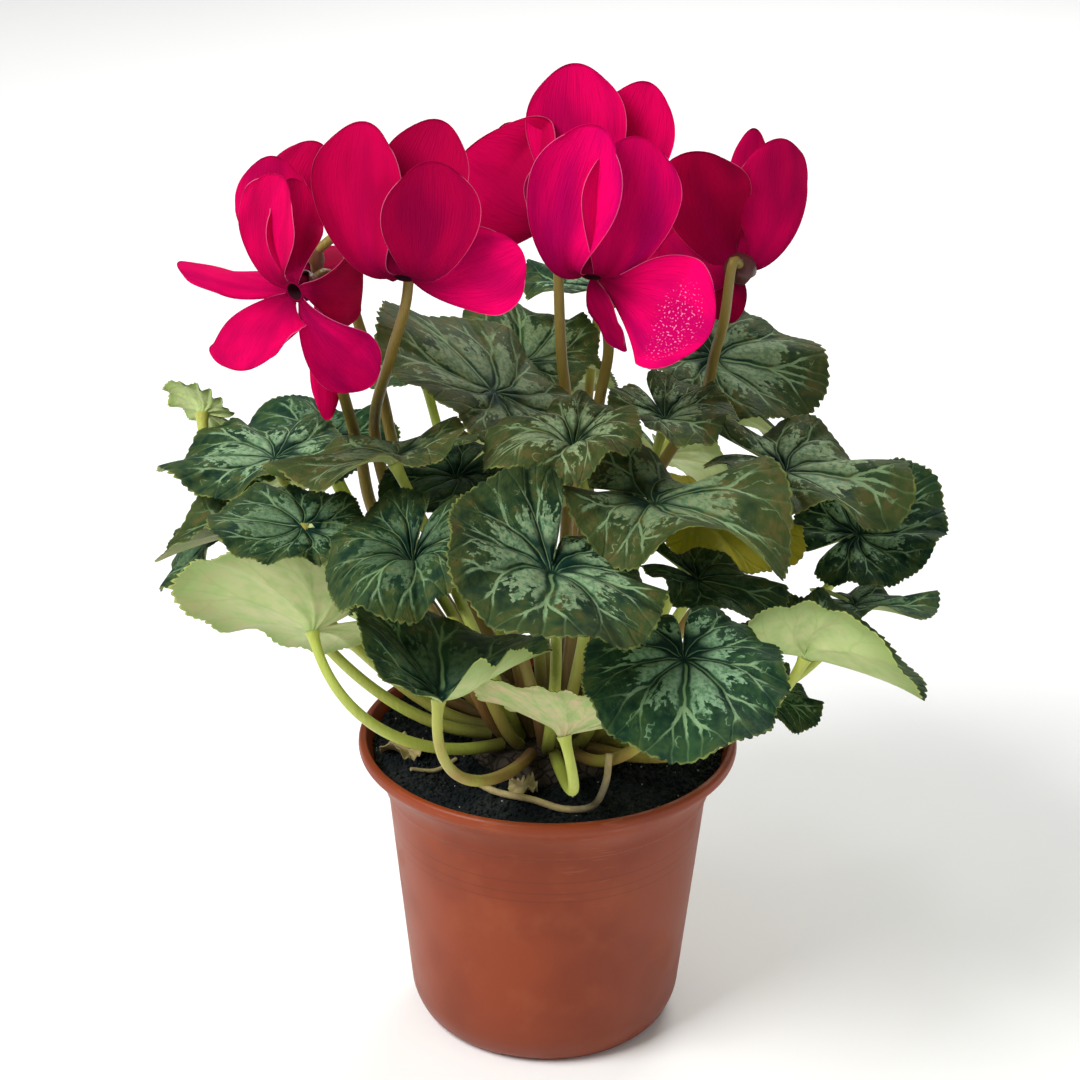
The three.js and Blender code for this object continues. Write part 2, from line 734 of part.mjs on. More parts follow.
function flowerFrame(flower) {
  const out = vec(...flower.faces).normalize();
  const top = vec(0, 0, 1).addScaledVector(out, -out.z).normalize();
  const right = top.clone().cross(out);
  if (right.x < 0) right.negate();
  return { out, top, right };
}

function alongAxis(geometry, origin, axis) {
  const turn = new THREE.Quaternion().setFromUnitVectors(vec(0, 0, 1), axis);
  geometry.applyMatrix4(new THREE.Matrix4().compose(origin, turn, vec(1, 1, 1)));
  return geometry;
}

function petalShare(s) {
  return Math.sin(Math.PI * (0.02 + 0.83 * s ** 1.3)) ** 0.7;
}

// The turn, within a quarter turn either way, that brings a petal's face towards the side it shows.
function turnToShow(along, face, shows) {
  const aim = vec(...shows);
  aim.addScaledVector(along, -aim.dot(along)).normalize();
  let turn = Math.atan2(face.clone().cross(aim).dot(along), face.dot(aim));
  if (turn > Math.PI / 2) turn -= Math.PI;
  if (turn < -Math.PI / 2) turn += Math.PI;
  return turn;
}

function buildPetal(mouth, frame, petal) {
  const slot = rad(petal.slot);
  const away = frame.right.clone().multiplyScalar(Math.cos(slot)).addScaledVector(frame.top, Math.sin(slot));
  const start = mouth.clone().addScaledVector(away, PETAL_ROOT);
  const tip = mouth.clone().add(vec(...petal.tip));
  const first = away.clone().multiplyScalar(0.94).addScaledVector(frame.out, 0.35);
  const reach = 0.24 * start.distanceTo(tip);
  const knee = start.clone().addScaledVector(first, reach);
  const curve = new THREE.CubicBezierCurve3(start, knee, knee.clone().lerp(tip, 0.5), tip);
  const across = frame.out.clone().cross(away);
  const carried = [];
  let along = curve.getTangentAt(0);
  across.addScaledVector(along, -across.dot(along)).normalize();
  for (let i = 0; i <= PETAL_ALONG; i += 1) {
    const next = curve.getTangentAt(i / PETAL_ALONG);
    across.applyQuaternion(new THREE.Quaternion().setFromUnitVectors(along, next));
    along = next;
    carried.push({ along, across: across.clone() });
  }
  const last = carried[PETAL_ALONG];
  const twist = turnToShow(last.along, last.along.clone().cross(last.across), petal.shows);
  const points = [];
  const triangles = [];
  const bend = rad(petal.cup);
  carried.forEach((step, i) => {
    const s = i / PETAL_ALONG;
    const side = step.across.clone().applyAxisAngle(step.along, twist * Math.min(1, s * 1.6));
    const face = step.along.clone().cross(side);
    const half = (petal.width / 2) * petalShare(s);
    for (let j = 0; j <= PETAL_ACROSS; j += 1) {
      const u = (2 * j) / PETAL_ACROSS - 1;
      points.push(
        curve
          .getPointAt(s - TIP_ROUND * u * u * s ** 3)
          .addScaledVector(side, (half * Math.sin(bend * u)) / bend)
          .addScaledVector(face, (half * (1 - Math.cos(bend * u))) / bend),
      );
    }
  });
  const row = PETAL_ACROSS + 1;
  for (let i = 0; i < PETAL_ALONG; i += 1) {
    for (let j = 0; j < PETAL_ACROSS; j += 1) {
      const a = i * row + j;
      triangles.push(a, a + row, a + row + 1);
      triangles.push(a, a + row + 1, a + 1);
    }
  }
  const rim = [];
  for (let i = 0; i < PETAL_ALONG; i += 1) rim.push(i * row);
  for (let j = 0; j < PETAL_ACROSS; j += 1) rim.push(PETAL_ALONG * row + j);
  for (let i = PETAL_ALONG; i > 0; i -= 1) rim.push(i * row + PETAL_ACROSS);
  for (let j = PETAL_ACROSS; j > 0; j -= 1) rim.push(j);
  return thicken(points, triangles, rim, PETAL_HALF);
}

function buildCorolla(flower, frame) {
  const mouth = vec(...flower.mouth);
  const tube = [[0, -6.5], [3.2, -5.6], [4.2, -2.4], [3.6, 0.3], [2.6, 0.3], [0, -3.4]];
  let corolla = solid(alongAxis(revolve(tube, 6), mouth, frame.out));
  flower.petals.forEach((petal) => {
    corolla = corolla.add(solid(buildPetal(mouth, frame, petal)));
  });
  add(`${flower.name}_corolla`, unsolid(corolla), materials.petal);
}

function buildStalk(flower, frame) {
  const mouth = vec(...flower.mouth);
  const calyx = [[0, -8.6], [3.2, -7.8], [5, -4.4], [4.4, -4.4], [3.6, -6.2], [0, -7]];
  const sepals = (r, z, angle) => [r, z > -5 ? z + SEPAL_WAVE * Math.cos(5 * angle) : z];
  const cup = solid(alongAxis(revolve(calyx, 10, sepals), mouth, frame.out));
  const end = mouth.clone().addScaledVector(frame.out, -7.6);
  const beside = vec(...flower.stalk[flower.stalk.length - 1]).sub(end).setZ(0);
  const hook = end.clone().addScaledVector(frame.out, -4.6).addScaledVector(beside, 0.4);
  const angle = rad(flower.root);
  const root = rootPoint(flower.ring, angle, STALK_BASE, STALK_LEAN);
  const path = [root, ...flower.stalk.map((p) => vec(...p)), hook, end];
  const curve = new THREE.CatmullRomCurve3(path, false, 'centripetal');
  const radiusAt = (s) => STALK_BASE + (STALK_TIP - STALK_BASE) * s;
  const stalk = stem(curve, stationsAlong(STALK_STEPS, HOOK_CROWDING), STEM_SIDES, radiusAt);
  add(`${flower.name}_stalk`, unsolid(cup.add(solid(stalk))), materials.stalk);
}

function buildFlower(flower) {
  const frame = flowerFrame(flower);
  buildStalk(flower, frame);
  buildCorolla(flower, frame);
}

buildPot();
buildSoil();
buildTuber();
leaves.forEach(buildLeaf);
buildDryBits();
flowers.forEach(buildFlower);

export default group;
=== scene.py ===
# %% [markdown]
# A potted cyclamen, dressed in Blender
#
# The plant stands in a thin terracotta-coloured plastic pot. Thirty-four marbled heart-shaped
# leaves and six nodding crimson flowers rise from one corky tuber in dark soil.
# The measured model is loaded first as a fixed frame. Everything below is built around it, in
# metres, and each plain solid is then replaced by a finer piece that keeps its form.

# %% Load the measured model
import math
import random

import bpy
import numpy as np
from mathutils import Matrix, Quaternion, Vector, noise


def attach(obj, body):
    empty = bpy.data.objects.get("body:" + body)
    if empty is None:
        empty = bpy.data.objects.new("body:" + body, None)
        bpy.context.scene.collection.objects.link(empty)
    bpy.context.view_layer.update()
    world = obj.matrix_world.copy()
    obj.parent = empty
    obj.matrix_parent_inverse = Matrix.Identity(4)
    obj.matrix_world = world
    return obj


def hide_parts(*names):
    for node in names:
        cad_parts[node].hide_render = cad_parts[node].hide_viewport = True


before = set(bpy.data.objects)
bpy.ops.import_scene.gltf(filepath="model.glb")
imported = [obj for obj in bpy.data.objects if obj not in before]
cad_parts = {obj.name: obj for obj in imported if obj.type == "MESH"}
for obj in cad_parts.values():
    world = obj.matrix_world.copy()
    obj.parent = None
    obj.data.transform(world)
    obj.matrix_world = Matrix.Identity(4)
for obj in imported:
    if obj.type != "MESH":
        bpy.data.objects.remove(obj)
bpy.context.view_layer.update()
MM = 0.001
print("nodes in the frame:", len(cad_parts))

# %% [markdown]
# The camera
#
# The photograph was taken from the front and a little above, with a long lens. A camera could be
# placed by eye, but the pot's rim and foot are circles, and the ellipses that they make in the
# picture fix the height of the eye and the distance. The camera is turned about its own line of
# sight by a little over half a degree, because the photograph isn't quite level.

# %% Set up the camera
EYE_TARGET = Vector((-3.4, 0, 178.7)) * MM
EYE_DISTANCE = 1.0
EYE_HEIGHT = math.radians(24.4)
EYE_ROLL = math.radians(0.64)
LENS = 99.93
SENSOR_WIDTH = 36
NEAREST = 0.05

back = Vector((0, -math.cos(EYE_HEIGHT), math.sin(EYE_HEIGHT)))
right = Vector((1, 0, 0))
up = back.cross(right)
tilted_right = right * math.cos(EYE_ROLL) + up * math.sin(EYE_ROLL)
tilted_up = up * math.cos(EYE_ROLL) - right * math.sin(EYE_ROLL)

eye = bpy.data.objects.new("eye", bpy.data.cameras.new("eye"))
eye.data.lens = LENS
eye.data.sensor_width = SENSOR_WIDTH
eye.data.clip_start = NEAREST
turn = Matrix((tilted_right, tilted_up, back)).transposed()
eye.matrix_world = Matrix.Translation(EYE_TARGET + back * EYE_DISTANCE) @ turn.to_4x4()
bpy.context.collection.objects.link(eye)
bpy.context.scene.camera = eye
print("camera stands at", [round(v, 3) for v in eye.matrix_world.translation])

# %% [markdown]
# Floor and light
#
# The studio is a pale floor under a pale sky, with one large soft lamp high on the left, a weaker
# one on the right and one behind. Large lamps give the soft shadows of daylight through a window.
# The plain colour transform is used, so that a petal's crimson comes out as strong as it is mixed.

# %% Lay the floor and hang the lamps
FLOOR_CORNERS = [(-4, -4, 0), (4, -4, 0), (4, 4, 0), (-4, 4, 0)]
SKY_STRENGTH = 0.33
LAMP_AIM = Vector((0, 0, 0.17))
# Each lamp has its place and size in metres, and its power in watts.
LAMPS = {
    "window": ((-1.0, -0.75, 1.5), 0.9, 36),
    "fill": ((1.3, -0.9, 0.7), 1.0, 2),
    "rear": ((0.4, 1.2, 1.2), 0.8, 14),
}
bpy.context.scene.view_settings.view_transform = "Standard"

floor_mesh = bpy.data.meshes.new("floor")
floor_mesh.from_pydata(FLOOR_CORNERS, [], [(0, 1, 2, 3)])
floor = bpy.data.objects.new("floor", floor_mesh)
bpy.context.collection.objects.link(floor)

sky = bpy.data.worlds.new("sky")
sky.use_nodes = True
sky.node_tree.nodes["Background"].inputs["Color"].default_value = (1, 1, 1, 1)
sky.node_tree.nodes["Background"].inputs["Strength"].default_value = SKY_STRENGTH
bpy.context.scene.world = sky

for name, (place, size, watts) in LAMPS.items():
    lamp = bpy.data.objects.new(name, bpy.data.lights.new(name, "AREA"))
    lamp.data.size = size
    lamp.data.energy = watts
    lamp.location = place
    lamp.rotation_euler = (LAMP_AIM - Vector(place)).to_track_quat("-Z", "Y").to_euler()
    bpy.context.collection.objects.link(lamp)
print("lamps:", list(LAMPS))

# %% [markdown]
# Shader maths as Python
#
# A finish is a network of nodes, and most of its nodes do small sums. Placing them one by one
# hides what is being worked out. So a Field wraps one output socket and overloads the operators:
# writing 1 - mask adds the Math node that does it. A Network adds any other node from its type,
# its settings and what its sockets get. A Finish is the network of one material.

# %% Three small classes for finishes


def operator(operation, swapped=False):
    def method(self, *others):
        return self.network.math(operation, *((*others, self) if swapped else (self, *others)))
    return method


class Field:
    def __init__(self, network, socket):
        self.network = network
        self.socket = socket

    __add__ = __radd__ = operator("ADD")
    __mul__ = __rmul__ = operator("MULTIPLY")
    __sub__ = operator("SUBTRACT")
    __rsub__ = operator("SUBTRACT", swapped=True)
    __abs__ = operator("ABSOLUTE")


class Network:
    def plug(self, socket, value):
        if isinstance(value, Field):
            self.tree.links.new(value.socket, socket)
        else:
            socket.default_value = value

    def node(self, kind, settings=None, inputs=None, output=0):
        node = self.tree.nodes.new(kind)
        for name, value in (settings or {}).items():
            setattr(node, name, value)
        for name, value in (inputs or {}).items():
            self.plug(node.inputs[name], value)
        return Field(self, node.outputs[output])

    def math(self, operation, *values):
        return self.node("ShaderNodeMath", {"operation": operation}, dict(enumerate(values)))


class Finish(Network):
    def __init__(self, name, roughness=0.5, shine=0.5):
        self.material = bpy.data.materials.new(name)
        self.material.use_nodes = True
        self.tree = self.material.node_tree
        self.shader = self.tree.nodes["Principled BSDF"].inputs
        self.shader["Roughness"].default_value = roughness
        self.shader["Specular IOR Level"].default_value = shine

    def rise(self, value, low, high):
        """0 below low, 1 above high, and a smooth step between."""
        ends = {"Value": value, "From Min": low, "From Max": high}
        return self.node("ShaderNodeMapRange", {"interpolation_type": "SMOOTHSTEP"}, ends)

    def fall(self, value, low, high):
        """1 below low and 0 above high."""
        return 1 - self.rise(value, low, high)

    def mix(self, share, first, second):
        """The first colour where share is 0, the second where it is 1."""
        colours = {0: share, 6: first, 7: second}
        return self.node("ShaderNodeMix", {"data_type": "RGBA"}, colours, output=2)

    def paint(self, base, *layers):
        """The base colour with others laid over it in turn, each as strongly as its mask says."""
        for mask, colour in layers:
            base = self.mix(mask, base, colour)
        return base

    def attribute(self, name, output="Fac"):
        return self.node("ShaderNodeAttribute", {"attribute_name": name}, output=output)

    def parts(self, vector):
        split = self.node("ShaderNodeSeparateXYZ", inputs={0: vector}).socket.node
        return [Field(self, socket) for socket in split.outputs]

    def vector(self, x, y, z):
        return self.node("ShaderNodeCombineXYZ", inputs={0: x, 1: y, 2: z})

    def place(self):
        return self.node("ShaderNodeTexCoord", output="Object")

    def noise(self, vector, scale, detail=2.0, roughness=0.5, seed=0.0, kind="3D", output="Fac"):
        shift = self.math("MULTIPLY", seed, 7.7)
        moved = self.node("ShaderNodeVectorMath", {"operation": "ADD"}, {0: vector, 1: shift})
        values = {"Vector": moved, "Scale": scale, "Detail": detail, "Roughness": roughness}
        return self.node("ShaderNodeTexNoise", {"noise_dimensions": kind}, values, output)

    def chance(self, number):
        """A random value from 0 to 1 that is the same wherever the number is the same."""
        return self.node("ShaderNodeTexWhiteNoise", {"noise_dimensions": "1D"}, {"W": number})

    def bump(self, height, distance):
        values = {"Height": height, "Distance": distance}
        self.plug(self.shader["Normal"], self.node("ShaderNodeBump", inputs=values))

    def colour(self, field):
        self.plug(self.shader["Base Color"], field)

    def roughness(self, field):
        self.plug(self.shader["Roughness"], field)


def shade(red, green, blue):
    """A colour given as it looks on a screen, 0 to 255, as the linear values that shaders use."""
    shares = [c / 255 for c in (red, green, blue)]
    return (*[c / 12.92 if c < 11 / 255 else ((c + 0.055) / 1.055) ** 2.4 for c in shares], 1)


# %% [markdown]
# The floor's finish
#
# A sheet of pale matt paper, very slightly cloudy so that it doesn't read as a void.

# %% Finish the floor
paper = Finish("floor_paper", roughness=0.9)
clouds = paper.noise(paper.place(), 3.0, 1.0, kind="2D")
paper.colour(paper.mix(clouds, shade(250, 250, 249), shade(254, 254, 253)))
floor.data.materials.append(paper.material)

# %% [markdown]
# The pot's finish
#
# Moulded plastic with a terracotta pigment. The colour is even, with broad faint smudges where
# damp soil has been wiped off, dusty patches that are lighter and rougher, and hair-fine scuffs.
# The foot is painted a little darker, as shade, and faint rings run round the collar. The gloss is
# low but broken up by the same smudges, which is what makes plastic look handled.

# %% Mix the pot plastic


def pot_plastic():
    plastic = Finish("pot_plastic", shine=0.3)
    place = plastic.place()
    smudge = plastic.rise(plastic.noise(place, 24.0, 2.0, 0.6), 0.42, 0.66)
    dust = plastic.rise(plastic.noise(place, 55.0, 3.0, 0.65, seed=4.0), 0.5, 0.75)
    x, y, z = plastic.parts(place)
    wiped = plastic.noise(plastic.vector(x, y, z * 9.0), 60.0, 2.0, 0.7, seed=9.0)
    scuff = plastic.rise(wiped, 0.6, 0.68) * plastic.rise(plastic.noise(place, 14.0, seed=2.0), 0.5, 0.6)
    rings = plastic.noise(plastic.vector(0.0, 0.0, z), 900.0, 0.0, seed=5.0)
    collar = plastic.rise(z, 0.066, 0.07) * plastic.fall(z, 0.082, 0.086)
    plastic.colour(plastic.paint(
        plastic.mix(smudge * 0.6, shade(138, 56, 21), shade(119, 45, 17)),
        (dust * 0.2, shade(164, 96, 64)),
        (scuff * 0.25, shade(182, 120, 90)),
        # Painted shade: the pot darkens towards its foot, where less light falls.
        (plastic.fall(z, 0.004, 0.03) * 0.35, shade(104, 46, 28)),
        (plastic.rise(rings, 0.62, 0.7) * collar * 0.35, shade(96, 40, 22)),
    ))
    plastic.roughness(0.42 + smudge * 0.08 + dust * 0.16 + scuff * 0.1)
    plastic.bump(plastic.noise(place, 2600.0, 0.0), 0.00004)
    return plastic.material


POT_PLASTIC = pot_plastic()
print("mixed", POT_PLASTIC.name)

# %% [markdown]
# Soil, tuber and dried bits
#
# Peat-based soil is nearly black when damp, a little lighter on the crumbs that have dried, with
# specks of pale grit. The tuber has a brown corky skin with darker cracks. Dried stems and leaf
# scraps are tan to grey, with lengthwise fibres.

# %% Mix the soil, cork and dried finishes


def soil_finish():
    soil = Finish("soil_crumb", roughness=0.95, shine=0.2)
    place = soil.place()
    crumb = soil.noise(place, 420.0, 2.0, 0.6)
    patch = soil.noise(place, 60.0, 1.0, seed=3.0)
    dry = soil.rise(crumb * 0.6 + patch * 0.5, 0.52, 0.72)
    dark = soil.mix(patch, shade(12, 20, 25), shade(22, 27, 28))
    soil.colour(soil.mix(dry, dark, shade(40, 43, 42)))
    soil.bump(crumb, 0.0012)
    return soil.material


def grit_finish():
    grit = Finish("pale_grit", roughness=0.9)
    grey = grit.noise(grit.place(), 300.0, 2.0)
    grit.colour(grit.mix(grey, shade(120, 122, 116), shade(196, 194, 184)))
    return grit.material


def cork_finish():
    cork = Finish("tuber_cork", roughness=0.85)
    place = cork.place()
    cells = {"Vector": place, "Scale": 260.0}
    crack = cork.node("ShaderNodeTexVoronoi", {"feature": "DISTANCE_TO_EDGE"}, cells)
    skin = cork.noise(place, 150.0, 4.0)
    brown = cork.mix(skin, shade(38, 31, 24), shade(70, 56, 42))
    cork.colour(cork.mix(cork.rise(crack, 0.02, 0.12), shade(24, 20, 16), brown))
    cork.bump(cork.rise(crack, 0.0, 0.15), 0.0006)
    return cork.material


def dried_finish():
    dried = Finish("dried_stem", roughness=0.85)
    place = dried.place()
    fibre = dried.noise(place, 500.0, 4.0, 0.7)
    patch = dried.noise(place, 90.0, 2.0, seed=5.0)
    tan = dried.mix(fibre, shade(138, 120, 74), shade(206, 188, 136))
    dried.colour(dried.mix(dried.rise(patch, 0.5, 0.75) * 0.8, tan, shade(104, 96, 82)))
    dried.bump(fibre, 0.0004)
    return dried.material


SOIL = soil_finish()
GRIT = grit_finish()
CORK = cork_finish()
DRIED = dried_finish()

# %% [markdown]
# The marbled leaf
#
# The pattern of a cyclamen leaf follows its veins, so the finish needs to know where on the blade
# it is. Each blade carries an attribute named blade: how far a point lies towards the tip, how far
# to the side, and how near it is to the margin. From these the finish finds its angle and its
# distance from the petiole, and folds the plane. Dividing the angle by the spacing of the main
# veins and rounding gives the nearest vein, and what is left over is the distance to it. Taking
# the absolute value of that distance less a growing offset makes the vein fork, and doing it once
# more makes the forks fork. Noise bends the plane first, so no two leaves are alike.
#
# On the real leaf the middle is dark blue-green, a broken ring of silver lies between the veins,
# pale branching veins run out of it like antlers, and the margin turns olive and brown with age.

# %% Fold the plane into veins
VEIN_SPACING = math.radians(36)
VEIN_ARCH = 0.55
BENT = 0.1


class Veins:
    """Where the veins run on one blade, as fields of a finish."""

    def __init__(self, leaf):
        towards, aside, self.near_margin = leaf.parts(leaf.attribute("blade", "Vector"))
        self.seed = leaf.attribute("leaf_seed")
        self.age = leaf.attribute("leaf_age")
        # The blade's share of silver, lowered partly as painted shade on leaves that lie in shade.
        self.silver = leaf.attribute("leaf_silver")
        self.plane = leaf.vector(towards, aside, 0.0)
        wander = leaf.node("ShaderNodeVectorMath", {"operation": "MULTIPLY_ADD"}, {
            0: leaf.noise(self.plane, 2.4, 2.0, seed=self.seed, output="Color", kind="2D"),
            1: (BENT, BENT, 0.0),
            2: self.plane,
        })
        towards, aside, _ = leaf.parts(wander)
        towards = towards - BENT / 2
        aside = aside - BENT / 2
        self.out = leaf.math("SQRT", towards * towards + aside * aside)
        self.angle = leaf.math("ARCTAN2", aside, towards)
        arched = self.angle - leaf.math("SINE", self.angle) * (1 - self.out) * (1 - self.out) * VEIN_ARCH
        self.turns = arched * (1 / VEIN_SPACING)
        nearest = leaf.math("ROUND", self.turns)
        self.off = abs(self.turns - nearest)
        self.main = self.off * self.out * VEIN_SPACING
        self.midrib = 1 - leaf.math("MINIMUM", abs(nearest), 1.0)
        chance = leaf.chance(nearest * 1.7 + self.seed)
        self.fork = chance * 0.16 + 0.42
        first = abs(self.main - leaf.math("MAXIMUM", self.out - self.fork, 0.0) * (chance * 0.2 + 0.3))
        finest = abs(first - leaf.math("MAXIMUM", self.out - self.fork - 0.22, 0.0) * 0.34)
        self.finest = leaf.math("MINIMUM", finest, self.main + (1 - self.midrib) * 9)


# %% [markdown]
# The leaf from above
#
# The masks are worked out first, each as one expression, and the colours are laid over one
# another from the ground colour up: dark centre, green, olive margin, silver, pale veins, edge.
# The silver between two veins is one patch, with its own reach. It starts round and ends ragged.

# %% Mix the upper side
YELLOW_AGE = (0.92, 1.0)


def leaf_upper():
    leaf = Finish("leaf_upper", shine=0.11)
    veins = Veins(leaf)
    plane, seed, age, out, main = veins.plane, veins.seed, veins.age, veins.out, veins.main

    fan = leaf.vector(veins.angle * 4.0, out * 2.6, 0.0)
    feather = leaf.noise(fan, 2.0, 2.0, 0.7, seed=seed + 3, kind="2D")
    speckle = leaf.noise(plane, 19.0, 2.0, 0.68, seed=seed + 11, kind="2D")
    mottle = leaf.noise(plane, 5.0, 2.0, 0.68, seed=seed + 17, kind="2D")
    patch = leaf.math("FLOOR", veins.turns) * 3.1 + seed
    wide, deep = leaf.chance(patch), leaf.chance(patch + 55.5)

    gap = 1 - veins.off * 2
    notch_side = leaf.rise(abs(veins.angle), 1.3, 2.3)
    inner = gap * gap * 0.1 + wide * 0.08 + notch_side * 0.24 + 0.02
    outer = feather * 0.8 + mottle * 0.3 + deep * 0.2 - 0.04
    strip = out * 0.06 + 0.01
    silver = leaf.rise(out + speckle * 0.03, inner - 0.02, inner + 0.15)
    silver = silver * leaf.fall(out + speckle * 0.09, outer - 0.01, outer + 0.04)
    silver = silver * leaf.rise(main + (speckle + mottle - 1) * out * 0.08, strip * 0.7, strip * 1.4)
    # Partly painted shade: leaves that lie in shade get less silver, so they look darker.
    silver = silver * veins.silver
    holes = leaf.rise(speckle, 0.52, 0.57) * leaf.rise(out - outer, -0.16, -0.02)
    silver = silver * (1 - holes * 0.9)

    ends = deep * 0.16 + wide * 0.12 + 0.62
    antler_zone = leaf.rise(out, 0.42, 0.54) * leaf.fall(out, ends, ends + 0.06)
    antler_width = speckle * 0.024 + mottle * 0.012 - 0.006
    antler = leaf.fall(veins.finest, antler_width * 0.8, antler_width * 1.3) * antler_zone
    antler = antler * (veins.silver * 0.6 + 0.4)
    line = leaf.fall(veins.finest, 0.003, 0.01) * leaf.rise(out, 0.02, 0.08)
    line = line * (1 - leaf.rise(out, 0.7, 0.9) * 0.8)
    flecks = abs(leaf.math("FRACT", veins.angle * 4.1 + mottle * 1.5) - 0.5) * out
    flecks = leaf.fall(flecks, 0.01, 0.03) * leaf.rise(mottle + speckle * 0.4, 0.66, 0.74)
    flecks = flecks * leaf.rise(out, 0.6, 0.7) * leaf.fall(out, 0.86, 0.92)
    ring = leaf.math("MAXIMUM", silver * 0.94, leaf.math("MAXIMUM", antler * 0.85, flecks * 0.7))

    centre = leaf.fall(out + mottle * 0.2 - notch_side * 0.22, 0.2, 0.5)
    band = veins.midrib * leaf.fall(main, 0.03, 0.09) * leaf.rise(out, 0.15, 0.4)
    old = leaf.rise(mottle * 0.9 + out * 0.5 + age * 0.8, 0.8, 1.35)
    tan = leaf.rise(mottle * 1.3 + speckle * 0.5 + age * 0.5 - centre * 0.3, 1.16, 1.4)
    edge = leaf.rise(veins.near_margin + speckle * 0.03, 0.994, 1.008)
    ground = leaf.paint(
        leaf.mix(leaf.rise(mottle, 0.3, 0.7), shade(18, 48, 32), shade(44, 76, 44)),
        (centre * 0.9, shade(10, 43, 34)),
        (band * 0.5, shade(48, 82, 48)),
        (old * 0.85, shade(64, 76, 35)),
        (tan * 0.5, shade(96, 84, 44)),
    )
    pale = leaf.paint(
        leaf.mix(leaf.math("MINIMUM", age * 1.2, 1.0), shade(134, 168, 130), shade(150, 158, 110)),
        (leaf.rise(speckle + mottle * 0.3, 0.5, 0.85), shade(92, 130, 94)),
        (antler * 0.4, shade(150, 178, 134)),
    )
    leaf.colour(leaf.paint(
        ground,
        (ring, pale),
        (leaf.rise(age, *YELLOW_AGE) * 0.85, shade(188, 178, 44)),
        (line * (veins.midrib * 0.3 + 0.42), shade(126, 158, 106)),
        (edge * leaf.rise(mottle, 0.3, 0.65) * 0.6, shade(134, 144, 74)),
    ))
    leaf.roughness(0.54 + speckle * 0.16)
    leaf.bump(speckle * 0.4 + leaf.rise(main, 0.0, 0.1) + leaf.rise(veins.finest, 0.0, 0.03) * 0.3, 0.0009)
    return leaf.material


LEAF_UPPER = leaf_upper()
print("mixed", LEAF_UPPER.name, "with", len(LEAF_UPPER.node_tree.nodes), "nodes")

# %% [markdown]
# The leaf from below
#
# The underside is pale yellow-green, almost white where light comes through, with soft raised
# veins that are a little yellower, and a thin bright edge. It uses the same fold of the plane.

# %% Mix the underside


def leaf_under():
    leaf = Finish("leaf_under", roughness=0.6, shine=0.3)
    veins = Veins(leaf)
    cloud = leaf.noise(veins.plane, 5.0, 2.0, 0.6, seed=veins.seed + 31, kind="2D")
    leaf.colour(leaf.paint(
        leaf.mix(cloud, shade(148, 172, 98), shade(192, 206, 144)),
        (leaf.rise(veins.out + cloud * 0.5, 0.85, 1.35), shade(122, 150, 72)),
        (veins.age * leaf.rise(cloud, 0.3, 0.8), shade(206, 184, 144)),
        (leaf.rise(veins.age, *YELLOW_AGE) * 0.85, shade(206, 196, 66)),
        (leaf.fall(veins.finest, 0.002, 0.02) * 0.25, shade(132, 160, 78)),
        (leaf.rise(veins.near_margin, 0.98, 0.992) * 0.7, shade(176, 184, 96)),
    ))
    leaf.bump(cloud, 0.0006)
    return leaf.material


LEAF_UNDER = leaf_under()
print("mixed", LEAF_UNDER.name)

# %% [markdown]
# Petioles and flower stalks
#
# Both are fleshy stems with fine lengthwise lines. An attribute named along runs from 0 at the
# root to 1 at the top. Petioles are yellow-green, some of them brown-pink lower down. The flower
# stalks are olive brown, and all of them are painted dark at the foot, as the shade under the
# leaves. Each stem has its own share of brown in the attribute stem_brown. The calyx has the same
# finish in red-brown colours.

# %% Mix the stem finishes


def stem_finish(name, young, old, foot):
    stem = Finish(name, roughness=0.42, shine=0.4)
    place = stem.place()
    x, y, z = stem.parts(place)
    streak = stem.noise(stem.vector(x, y, z * 0.12), 900.0, 2.0, 0.6)
    patch = stem.noise(place, 70.0, 1.0, seed=6.0)
    along = stem.attribute("along")
    flushed = stem.rise(stem.attribute("stem_brown") + patch * 0.5 - along * 0.35, 0.25, 0.95)
    stem.colour(stem.paint(
        stem.mix(streak * 0.8, young, old),
        (flushed, foot),
        # Painted shade: every stem darkens over its lowest fifth, in the shade under the leaves.
        (stem.fall(along, 0.02, 0.2) * 0.75, shade(66, 52, 30)),
    ))
    stem.bump(streak, 0.00025)
    return stem.material


PETIOLE = stem_finish("petiole_skin", shade(192, 200, 96), shade(150, 166, 58), shade(150, 104, 62))
STALK = stem_finish("stalk_skin", shade(124, 108, 44), shade(150, 130, 62), shade(112, 78, 44))
CALYX = stem_finish("calyx_skin", shade(96, 62, 40), shade(116, 76, 48), shade(78, 28, 32))
WITHERED_CALYX = stem_finish("calyx_withered", shade(66, 26, 30), shade(92, 44, 36), shade(58, 18, 26))
print("mixed", [finish.name for finish in (PETIOLE, STALK, CALYX, WITHERED_CALYX)])
